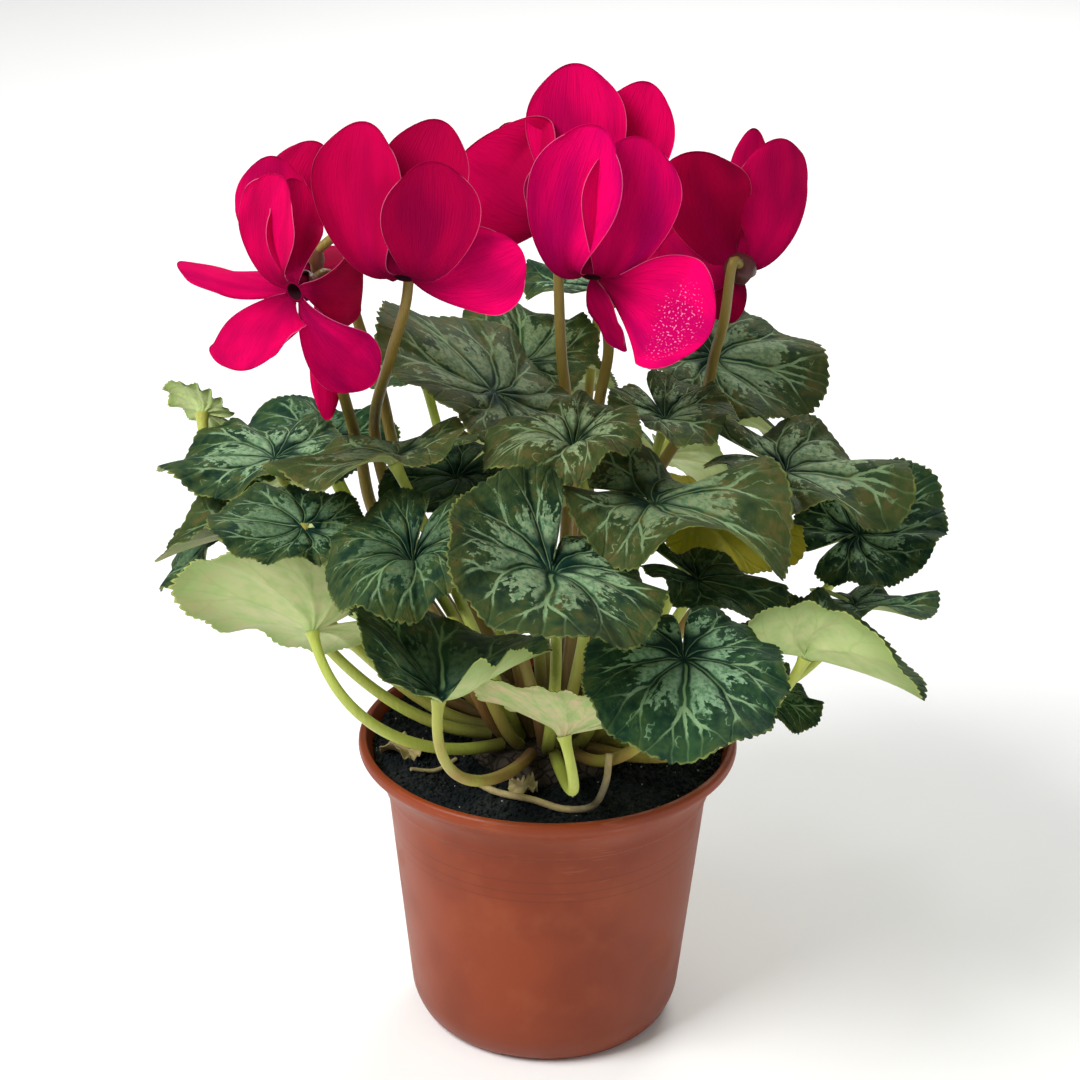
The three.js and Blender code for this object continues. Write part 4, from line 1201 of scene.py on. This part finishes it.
def blade_grid(leaf, angle, share, draw):
    """The points of the middle surface of a blade."""
    tip, side, face = (np.array(axis) for axis in leaf_axes(leaf))
    heart = sum(part * np.cos(k * angle) for k, part in enumerate(HEART)) + TIP_POINT * hump(angle, TIP_WIDTH)
    teeth = np.array([[-1, draw.uniform(0.1, 1), draw.uniform(-0.4, 0.8)] for _ in range(TEETH)])
    teeth = (teeth * np.array([[draw.uniform(0.35, 1.2)] for _ in range(TEETH)])).reshape(1, -1)
    uneven = sum(draw.uniform(-UNEVENNESS, UNEVENNESS) * np.cos(k * angle + draw.uniform(0, 6))
                 for k in range(6, 13))
    margin = 1 + (TOOTH_DEPTH * teeth) * share ** 40 + uneven * share ** 4
    away = share * notch_shape(angle) * margin
    start = np.radians(leaf["cup"] - leaf["fold"] * np.cos(2 * angle))
    lobes = leaf["lean"] * np.sin(angle) + leaf["split"] * np.sin(angle / 2) ** 3
    bend = leaf["curl"] + leaf["nod"] * np.cos(angle) + lobes
    bend = bend + leaf["wave"] * np.sin(leaf["waves"] * angle + math.radians(leaf["swing"]))
    bend = np.radians(bend)
    bend = np.where(np.abs(bend) < LEAST_BEND, LEAST_BEND, bend)
    slope = start + bend * away
    out = leaf["size"] * heart * (np.sin(slope) - np.sin(start)) / bend
    rise = leaf["size"] * heart * (np.cos(start) - np.cos(slope)) / bend
    frill = sum(draw.uniform(*FRILL) * np.sin(k * angle + draw.uniform(0, 6)) for k in range(8, 17))
    quilt = 1 - hump(vein_relief(angle, share, leaf["size"]), QUILT_REACH)
    rise = rise + frill * share ** 5 + quilt * share * (1.25 - share) * QUILT_HEIGHT
    level = np.cos(angle)[..., None] * tip + np.sin(angle)[..., None] * side
    return np.array(leaf["at"]) + out[..., None] * level + rise[..., None] * face


def shape_blade(leaf, name, upper_finish, under_finish):
    """The blade as a closed body, with the attributes that its finishes read."""
    draw = random.Random(name)
    angle = np.linspace(-math.pi, math.pi, BLADE_COLUMNS, endpoint=False)[None, :]
    share = np.array(BLADE_SHARES)[:, None]
    grid = blade_grid(leaf, angle, share, draw)
    normal = sheet_normals(grid, True)
    fade = (1 - share) ** 0.6
    vein = hump(vein_relief(angle, share, leaf["size"]), VEIN_REACH) * fade
    below = RIB_HEIGHT * (0.25 + 0.75 * fade) * vein + BOSS_HEIGHT * hump(share * leaf["size"], BOSS_REACH)
    half = BLADE_THICKNESS / 2 * (1 - 0.6 * share ** 12)
    upper = grid + normal * (half - GROOVE_DEPTH * vein)[..., None]
    lower = grid - normal * (half + below)[..., None]
    at, face = np.array(leaf["at"]), np.array(leaf_axes(leaf)[2])
    middles = [at - face * UPPER_MIDDLE, at - face * LOWER_MIDDLE]
    points = np.concatenate([upper.reshape(-1, 3), lower.reshape(-1, 3), middles])
    rows, columns = grid.shape[:2]
    count = rows * columns
    faces = sheet_faces(rows, columns, True)
    kinds = [0] * (rows - 1) * columns + [1] * (rows - 1) * columns
    last = (rows - 1) * columns
    for j in range(columns):
        k = (j + 1) % columns
        faces.append((2 * count, j, k))
        faces.append((2 * count + 1, count + k, count + j))
        faces.append((last + k, last + j, count + last + j, count + last + k))
        kinds += [0, 1, 0]
    spread = share * notch_shape(angle)
    place = np.stack(np.broadcast_arrays(spread * np.cos(angle), spread * np.sin(angle), share), axis=2)
    place = place.reshape(-1, 3)
    seed = draw.uniform(0, 40)
    return new_piece(name, points * MM, faces, [upper_finish, under_finish], kinds, {
        "blade": np.concatenate([place, place, np.zeros((2, 3))]),
        "leaf_age": np.full(len(points), leaf["age"]),
        "leaf_seed": np.full(len(points), seed),
        "leaf_silver": np.full(len(points), leaf["silver"]),
    })


# %% [markdown]
# Leaf and petiole together
#
# The petiole is a curve with four handles: it leaves its ring of the crown outwards and upwards,
# runs low over the soil, turns up and meets the blade from below. Blade and petiole are one grown
# piece, so they are joined into one object.

# %% Grow the leaves
RING_RADII = (6, 10.9, 15.7, 20.2)
RING_REACH = (3, 7, 14, 30)
RING_RISE = (12, 16, 10, 3)
PETIOLE_BASE = 2.2
PETIOLE_TIP = 1.6
PETIOLE_FLARE = 0.9
PETIOLE_STEPS = 60
PETIOLE_SECTIONS = 48
BLADE_UNDERSIDE = 1.2
BROWN_SPREAD = 14


def bezier(handles, t):
    """The points of a curve with four handles at the shares t of its way."""
    a, b, c, d = (np.array(h, float) for h in handles)
    return a * (1 - t) ** 3 + b * 3 * t * (1 - t) ** 2 + c * 3 * t * t * (1 - t) + d * t ** 3


def root_point(ring, angle, radius, lean):
    """Where a leaning stem of this radius stands on the tuber, just clear of its skin."""
    r = RING_RADII[ring - 1]
    return Vector((r * math.cos(angle), r * math.sin(angle), CROWN + GAP + radius * math.sin(lean)))


def petiole_path(leaf):
    tip, _, face = leaf_axes(leaf)
    at = Vector(leaf["at"])
    angle = math.radians(leaf["root"])
    reach, rise = (sizes[leaf["ring"] - 1] for sizes in (RING_REACH, RING_RISE))
    root = root_point(leaf["ring"], angle, PETIOLE_BASE, math.atan2(reach, rise))
    leave = root + Vector((math.cos(angle) * reach, math.sin(angle) * reach, rise))
    arrive = (face * 0.6 + tip * 0.35 + Vector((0, 0, 0.4))).normalized()
    before = Vector(leaf["arrive"]) if leaf["arrive"] else arrive * -leaf["drop"] * (at - root).length
    handles = (root, leave, at + before, at - face * BLADE_UNDERSIDE)
    return bezier(handles, np.linspace(0, 1, PETIOLE_STEPS)[:, None])


leaf_faces = 0
for number, (leaf_name, numbers) in enumerate(LEAVES.items()):
    leaf = {**PLAIN_LEAF, **numbers}
    name = "leaf_" + leaf_name
    blade = shape_blade(leaf, name, LEAF_UPPER, LEAF_UNDER)
    brown = (number * 7 % 10) / BROWN_SPREAD
    petiole = grow_tube("petiole", petiole_path(leaf), PETIOLE_BASE, PETIOLE_TIP, PETIOLE,
                        PETIOLE_SECTIONS, flare=PETIOLE_FLARE, brown=brown)
    piece = join([blade, petiole], name + "_blade")
    stand_for(piece, name)
    leaf_faces += len(piece.data.polygons)
print("leaf faces:", leaf_faces)

# %% [markdown]
# Dried bits on the soil
#
# One long dried petiole loops over the soil in front, with a short twig and two scraps of dead
# leaf. The stems are tubes again, thin and pale. The scraps are small blades, strongly waved.

# %% Lay the dried bits
TWIG_SECTIONS = 60
TWIG_SIDES = 9
DRY_STEMS = {
    "dry_stem_1": (1.2, [(-26, -27, 2), (-17, -39, 1.9), (-5, -44, 1.9), (6, -48, 1.9), (15, -50, 4),
                         (19, -49, 12), (20, -46, 22)]),
    "dry_stem_2": (0.7, [(-46, -24, 1.6), (-38, -20, 1.4), (-31, -14, 1.8)]),
}
DRY_LEAVES = {
    "dry_leaf_1": dict(at=(-48, -9, 1.8), size=9, heading=200, pitch=6, cup=14, curl=-6, wave=45, waves=3),
    "dry_leaf_2": dict(at=(-8, -34, 3.5), size=6.5, heading=260, pitch=-4, cup=10, curl=-6, wave=36, waves=3),
}


def on_soil(place):
    """A place given as x, y and its height above the soil."""
    x, y, lift = place
    return Vector((x, y, soil_height(math.hypot(x, y), math.atan2(y, x)) + lift))


def smooth_path(points, steps=16):
    """A curve through all the points that keeps close to them, however unevenly they are spaced."""
    points = [np.array(p, float) for p in points]
    points = [2 * points[0] - points[1], *points, 2 * points[-1] - points[-2]]
    path = []
    for a, b, c, d in zip(points, points[1:], points[2:], points[3:]):
        first, middle, last = (np.linalg.norm(q - p) ** 0.5 for p, q in ((a, b), (b, c), (c, d)))
        leaving = middle * ((b - a) / first - (c - a) / (first + middle) + (c - b) / middle)
        arriving = middle * ((c - b) / middle - (d - b) / (middle + last) + (d - c) / last)
        for t in np.linspace(0, 1, steps, endpoint=False):
            path.append((2 * t ** 3 - 3 * t ** 2 + 1) * b + (t ** 3 - 2 * t ** 2 + t) * leaving
                        + (3 * t ** 2 - 2 * t ** 3) * c + (t ** 3 - t ** 2) * arriving)
    return np.array([*path, points[-2]])


for name, (radius, places) in DRY_STEMS.items():
    path = smooth_path([on_soil(p) for p in places])
    twig = grow_tube(name + "_twig", path, radius, radius, DRIED, TWIG_SECTIONS, TWIG_SIDES)
    stand_for(twig, name)
for name, numbers in DRY_LEAVES.items():
    leaf = {**PLAIN_LEAF, **numbers, "at": tuple(on_soil(numbers["at"]))}
    stand_for(shape_blade(leaf, name + "_scrap", DRIED, DRIED), name)
print("dried bits:", [*DRY_STEMS, *DRY_LEAVES])

# %% [markdown]
# The flowers
#
# A cyclamen flower nods: its stalk hooks over into the calyx, the mouth of the tube faces down or
# outwards, and five petals leave the mouth and turn back. Each petal has six values: the place on
# the mouth where it starts (90 degrees is the top), where its tip lies from the mouth, its width,
# how much it is cupped across, the side that it shows, and how deep its red is, from 0 to 1. That
# last is partly the petal's own colour and partly painted shade on petals that lie in shadow.

# %% The flowers and their numbers
FLOWERS = {
    "left": dict(
        mouth=(-79, -46, 282), faces=(-0.55, -0.75, -0.15), ring=2, root=178,
        stalk=[(-58, 2, 185), (-63, -1, 210), (-68, -24, 247), (-70, -35, 268)],
        petals=[
            (235, (-13, -23, -17), 34, 25, (-0.5, -0.8, 0.4), 0.4),
            (310, (23, 4, -32), 22, 15, (0, -1, 0.3), 0.2),
            (20, (19, 26, -8), 23, 15, (0, -1, 0.3), 0.7),
            (80, (0, 12, 32), 20, 25, (0.6, -1, 0), 0.6),
            (150, (-3, -4, 38), 24, 30, (-0.8, -1, 0), 0.4),
        ],
    ),
    "left_rear": dict(
        mouth=(-80, -10, 277), faces=(-0.6, 0.1, -0.75), ring=1, root=117,
        stalk=[(-48, 14, 190), (-57, 10, 230), (-64, 2, 258)],
        petals=[
            (140, (-9, 6, 35), 24, 15, (0, -1, 0.2), 0.5),
            (60, (5, 18, 36), 24, 15, (0, -1, 0.2), 0.7),
            (200, (-40, 7, -1), 15, 40, (0, -0.2, 1), 0.4),
            (285, (8, -10, -48), 12, 40, (0.3, -1, 0), 0.4),
            (10, (16, 32, -4), 22, 20, (0.5, 0.5, 1), 0.8),
        ],
    ),
    "centre_left": dict(
        mouth=(-46, -43, 286), faces=(-0.15, -0.6, -0.78), ring=1, root=218,
        stalk=[(-50, -6, 188), (-58, 1, 215), (-51, -26, 254), (-45.5, -34, 276)],
        petals=[
            (150, (-11, 0, 49), 33, 28, (-0.5, -1, 0), 0.75),
            (35, (9, -13, 41), 31, 20, (0.2, -1, 0.1), 0.8),
            (88, (11, 16, 45), 28, 20, (0, -1, 0.3), 0.85),
            (340, (36, -8, 12), 30, 15, (0.1, -1, 0.2), 0.15),
            (200, (-4, 36, 18), 20, 20, (-0.4, 0, 1), 0.9),
        ],
    ),
    "centre_rear": dict(
        mouth=(5, 28, 283), faces=(0.2, -0.5, -0.84), ring=1, root=65,
        stalk=[(6, 29, 205), (3, 30, 235), (1.5, 39, 270)],
        petals=[
            (170, (-36, -2, 20), 58, 12, (0, -1, 0.1), 0.6),
            (100, (1, 4, 50), 33, 15, (0, -1, 0.1), 0.3),
            (45, (25, 8, 43), 28, 15, (0, -1, 0.2), 0.3),
            (345, (38, 6, -4), 26, 15, (0, -1, 0.3), 0.5),
            (215, (-21, 24, 24), 23, 20, (0, 1, 0), 0.9),
        ],
    ),
    "centre_right": dict(
        mouth=(12, -23, 280), faces=(-0.1, -0.6, -0.8), ring=1, root=320,
        stalk=[(15, 0, 225), (18, -5, 250), (14.5, -14, 270)],
        petals=[
            (150, (1, -8, 51), 32, 40, (-0.3, -1, 0), 0.1),
            (45, (13, -2, 46), 33, 20, (0.3, -1, 0), 0.3),
            (335, (36, -26, -9), 38, 15, (0, -1, 0.4), 0.1),
            (270, (11, 2, -26), 15, 20, (-1, -0.5, 0), 0.4),
            (98, (-13, 24, 30), 26, 20, (-0.3, 1, 0), 0.8),
        ],
    ),
    "right": dict(
        mouth=(60, 2, 273), faces=(0.1, 0.8, -0.6), ring=1, root=13,
        stalk=[(33, 8, 195), (50, 17.5, 222), (53, 7, 243), (55, -4, 259)],
        petals=[
            (140, (-16, -6, 42), 31, 20, (-0.2, -1, 0.1), 0.9),
            (40, (10, 2, 44), 27, 25, (0.4, -1, 0), 0.6),
            (90, (4, 20, 42), 14, 25, (0, -1, 0), 0.7),
            (195, (-24, 14, 6), 26, 15, (-0.1, -1, 0.2), 0.7),
            (270, (-13, 8, -14), 20, 20, (0, -1, 0), 0.9),
        ],
    ),
}
# One petal is dusted with pollen and one has a torn fleck: their flower and their place in it.
DUSTED = ("centre_right", 2)
TORN = ("centre_left", 3)
print("petals:", sum(len(flower["petals"]) for flower in FLOWERS.values()))

# %% [markdown]
# A petal
#
# The petal's middle line is a curve from the mouth, out over a bend, to the tip. A frame is carried
# along it without spinning, then turned little by little until the petal shows the right side.
# Across that line the petal is an arc. It is thickest at its root and thin at its rim, which has a
# slight wave.

# %% Shape a petal
PETAL_ROOT = 3.2
PETAL_ROWS = 40
PETAL_COLUMNS = 25
TIP_ROUND = 0.1
PETAL_THICKNESS = 0.62
CURVE_STEPS = 400
EVEN_STEPS = 200
LEAVES_AWAY = 0.94
LEAVES_OUT = 0.35
KNEE_SHARE = 0.24
TWIST_PACE = 1.6
RIM_CROWDING = 1.35
RUFFLE = (0.15, 0.45)


def petal_share(s):
    """How wide the petal is along its way, as a share of its full width."""
    return np.sin(math.pi * (0.02 + 0.83 * s ** 1.3)) ** 0.7


def bezier_way(handles, t):
    a, b, c, d = (np.array(h, float) for h in handles)
    return Vector((b - a) * 3 * (1 - t) ** 2 + (c - b) * 6 * t * (1 - t) + (d - c) * 3 * t * t).normalized()


def even_steps(handles):
    """The curve's own parameter at evenly spaced distances along it."""
    t = np.linspace(0, 1, CURVE_STEPS)
    pieces = np.linalg.norm(np.diff(bezier(handles, t[:, None]), axis=0), axis=1)
    gone = np.concatenate([[0], np.cumsum(pieces)])
    return np.interp(np.linspace(0, 1, EVEN_STEPS + 1), gone / gone[-1], t)


def turn_to_show(along, face, shows):
    """How far the petal turns about its own line, the shorter way round, to show the given side."""
    aim = Vector(shows)
    aim = (aim - along * aim.dot(along)).normalized()
    twist = math.atan2(face.cross(aim).dot(along), face.dot(aim))
    return twist - math.copysign(math.pi, twist) if abs(twist) > math.pi / 2 else twist


def petal_grid(mouth, axes, petal, name):
    """The points of the middle surface of a petal, row by row from the mouth to the tip."""
    out, top, side_way = axes
    slot, tip, width, cup, shows, _ = petal
    slot = math.radians(slot)
    away = side_way * math.cos(slot) + top * math.sin(slot)
    start = mouth + away * PETAL_ROOT
    tip = mouth + Vector(tip)
    knee = start + (away * LEAVES_AWAY + out * LEAVES_OUT) * KNEE_SHARE * (tip - start).length
    handles = (start, knee, knee.lerp(tip, 0.5), tip)
    steps = even_steps(handles)
    along = bezier_way(handles, 0)
    across = out.cross(away)
    across = (across - along * across.dot(along)).normalized()
    carried = []
    for i in range(PETAL_ROWS):
        ahead = bezier_way(handles, steps[round(EVEN_STEPS * i / (PETAL_ROWS - 1))])
        across = along.rotation_difference(ahead) @ across
        along = ahead
        carried.append((along, across.copy()))
    twist = turn_to_show(along, along.cross(across), shows)
    draw = random.Random(name)
    waves = [(draw.uniform(*RUFFLE), draw.uniform(3, 9), draw.uniform(0, 6)) for _ in range(3)]
    bend = math.radians(cup)
    columns = np.linspace(-1, 1, PETAL_COLUMNS)
    columns = np.sign(columns) * (1 - (1 - np.abs(columns)) ** RIM_CROWDING)
    evenly = np.linspace(0, 1, EVEN_STEPS + 1)
    grid = np.zeros((PETAL_ROWS, PETAL_COLUMNS, 3))
    for i, (along, across) in enumerate(carried):
        s = i / (PETAL_ROWS - 1)
        side = Quaternion(along, twist * min(1, s * TWIST_PACE)) @ across
        face = along.cross(side)
        half = width / 2 * petal_share(s)
        for j, u in enumerate(columns):
            back = s - TIP_ROUND * u * u * s ** 3
            point = Vector(bezier(handles, np.interp(max(back, 0), evenly, steps)))
            ruffle = sum(size * math.sin(times * s * 2 + shift + u) for size, times, shift in waves)
            lift = half * (1 - math.cos(bend * u)) / bend + ruffle * u * u * u * s
            grid[i, j] = point + side * (half * math.sin(bend * u) / bend) + face * lift
    return grid


def petal_sheet(grid, number):
    """The petal as a closed body: its points, faces and the places that its finish reads."""
    rows, columns = grid.shape[:2]
    normal = sheet_normals(grid, False)
    s = np.linspace(0, 1, rows)[:, None]
    u = np.linspace(-1, 1, columns)[None, :]
    half = PETAL_THICKNESS / 2 * (1 - 0.65 * np.maximum(np.abs(u) ** 4, s ** 8))
    lift = normal * half[..., None]
    points = np.concatenate([(grid + lift).reshape(-1, 3), (grid - lift).reshape(-1, 3)])
    faces = sheet_faces(rows, columns, False)
    index = np.arange(rows * columns).reshape(rows, columns)
    rim = [*index[:-1, 0], *index[-1, :-1], *index[:0:-1, -1], *index[0, :0:-1]]
    for a, b in zip(rim, rim[1:] + rim[:1]):
        faces.append((b, b + index.size, a + index.size, a))
    flat = np.stack(np.broadcast_arrays(s, u, float(number)), axis=2).reshape(-1, 3)
    return points, faces, np.concatenate([flat, flat])


# %% [markdown]
# Corolla, calyx and stalk
#
# The petals of one flower are fused into a short tube, so tube and petals are one piece. Five
# pointed sepals hold the tube from behind, at the end of the stalk, and are one piece with it. Both
# are turned forms laid along the way that the flower faces.

# %% Put the flowers together
STALK_BASE = 2.5
STALK_TIP = 1.55
STALK_LEAN = 0.6
STALK_END = 7.6
STALK_SECTIONS = 110
STALK_SIDES = 14
HOOK_REACH = 4.6
HOOK_LEAN = 0.4
TUBE_SEGMENTS = 40
TUBE_PROFILE = [
    (0, -6.5), (1.8, -6.3), (3.2, -5.6), (4.0, -4.2), (4.2, -2.4), (4.0, -0.8), (3.6, 0.3), (3.1, 0.5),
    (2.6, 0.3), (2.3, -1), (1.2, -2.8), (0, -3.4),
]
# The throat, the inside of the tube's mouth, is painted nearly black as shade; the rest of the tube gets a
# deep red.
THROAT_RADIUS = 2.7
THROAT_DEPTH = -3.6
THROAT_SHADE = 1.5
TUBE_LOOK = 0.8
CALYX_PROFILE = [
    (0, -8.6), (1.9, -8.4), (3.2, -7.8), (4.3, -6.4), (4.8, -5.2), (5.1, -4.2), (4.7, -4.2), (4.3, -5.4),
    (3.7, -6.3), (2, -6.9), (0, -7),
]
CALYX_WAIST = -6.5
CALYX_SEGMENTS = 60


def flower_axes(flower):
    out = Vector(flower["faces"]).normalized()
    top = (Vector((0, 0, 1)) - out * out.z).normalized()
    side_way = top.cross(out)
    if side_way.x < 0:
        side_way.negate()
    return out, top, side_way


def laid_along(points, origin, axis):
    """Points turned so that their Z axis lies along the given one, and moved to the origin."""
    turn = Vector((0, 0, 1)).rotation_difference(axis)
    return np.array([origin + turn @ Vector(p) for p in points])


def five_sepals(r, z, angle):
    """The calyx below its waist, drawn out into five points."""
    if z <= CALYX_WAIST:
        return r, z
    point = abs(math.cos(2.5 * angle)) ** 1.5
    return r + 0.25 * point, z + (z - CALYX_WAIST) / 2.3 * (2.6 * point - 1.1)


def corolla_piece(flower_name, flower, name):
    mouth = Vector(flower["mouth"])
    axes = flower_axes(flower)
    tube, faces = turned_form(TUBE_PROFILE, TUBE_SEGMENTS)
    inside = [math.hypot(x, y) < THROAT_RADIUS and z > THROAT_DEPTH for x, y, z in tube]
    points = [laid_along(tube, mouth, axes[0])]
    places = [np.zeros((len(tube), 3))]
    looks = [[(THROAT_SHADE if deep else TUBE_LOOK, 0, 0) for deep in inside]]
    count = len(tube)
    for k, petal in enumerate(flower["petals"]):
        grid = petal_grid(mouth, axes, petal, f"{name}{k}")
        petal_points, petal_faces, petal_places = petal_sheet(grid, len(name) + k * 3.7)
        points.append(petal_points)
        places.append(petal_places)
        faces += [tuple(i + count for i in face) for face in petal_faces]
        look = (petal[-1], (flower_name, k) == DUSTED, (flower_name, k) == TORN)
        looks.append(np.tile(np.array(look, float), (len(petal_points), 1)))
        count += len(petal_points)
    return new_piece(name + "_petals", np.concatenate(points) * MM, faces, [PETAL], None, {
        "petal": np.concatenate(places), "petal_depth_shade_and_marks": np.concatenate(looks),
    })


def stalk_piece(flower, name, calyx_finish):
    mouth = Vector(flower["mouth"])
    out = flower_axes(flower)[0]
    end = mouth - out * STALK_END
    beside = Vector(flower["stalk"][-1]) - end
    beside.z = 0
    hook = end - out * HOOK_REACH + beside * HOOK_LEAN
    root = root_point(flower["ring"], math.radians(flower["root"]), STALK_BASE, STALK_LEAN)
    path = smooth_path([root, *flower["stalk"], hook, end])
    stalk = grow_tube(name, path, STALK_BASE, STALK_TIP, STALK, STALK_SECTIONS, STALK_SIDES)
    points, faces = turned_form(CALYX_PROFILE, CALYX_SEGMENTS, five_sepals)
    calyx = new_piece("calyx", laid_along(points, mouth, out) * MM, faces, [calyx_finish], None,
                      {"along": np.ones(len(points))})
    return join([stalk, calyx], name + "_stem")


for flower_name, flower in FLOWERS.items():
    name = "flower_" + flower_name
    stand_for(corolla_piece(flower_name, flower, name), name + "_corolla")
    calyx_finish = WITHERED_CALYX if flower_name == "right" else CALYX
    stand_for(stalk_piece(flower, name, calyx_finish), name + "_stalk")
print("flowers:", len(FLOWERS))
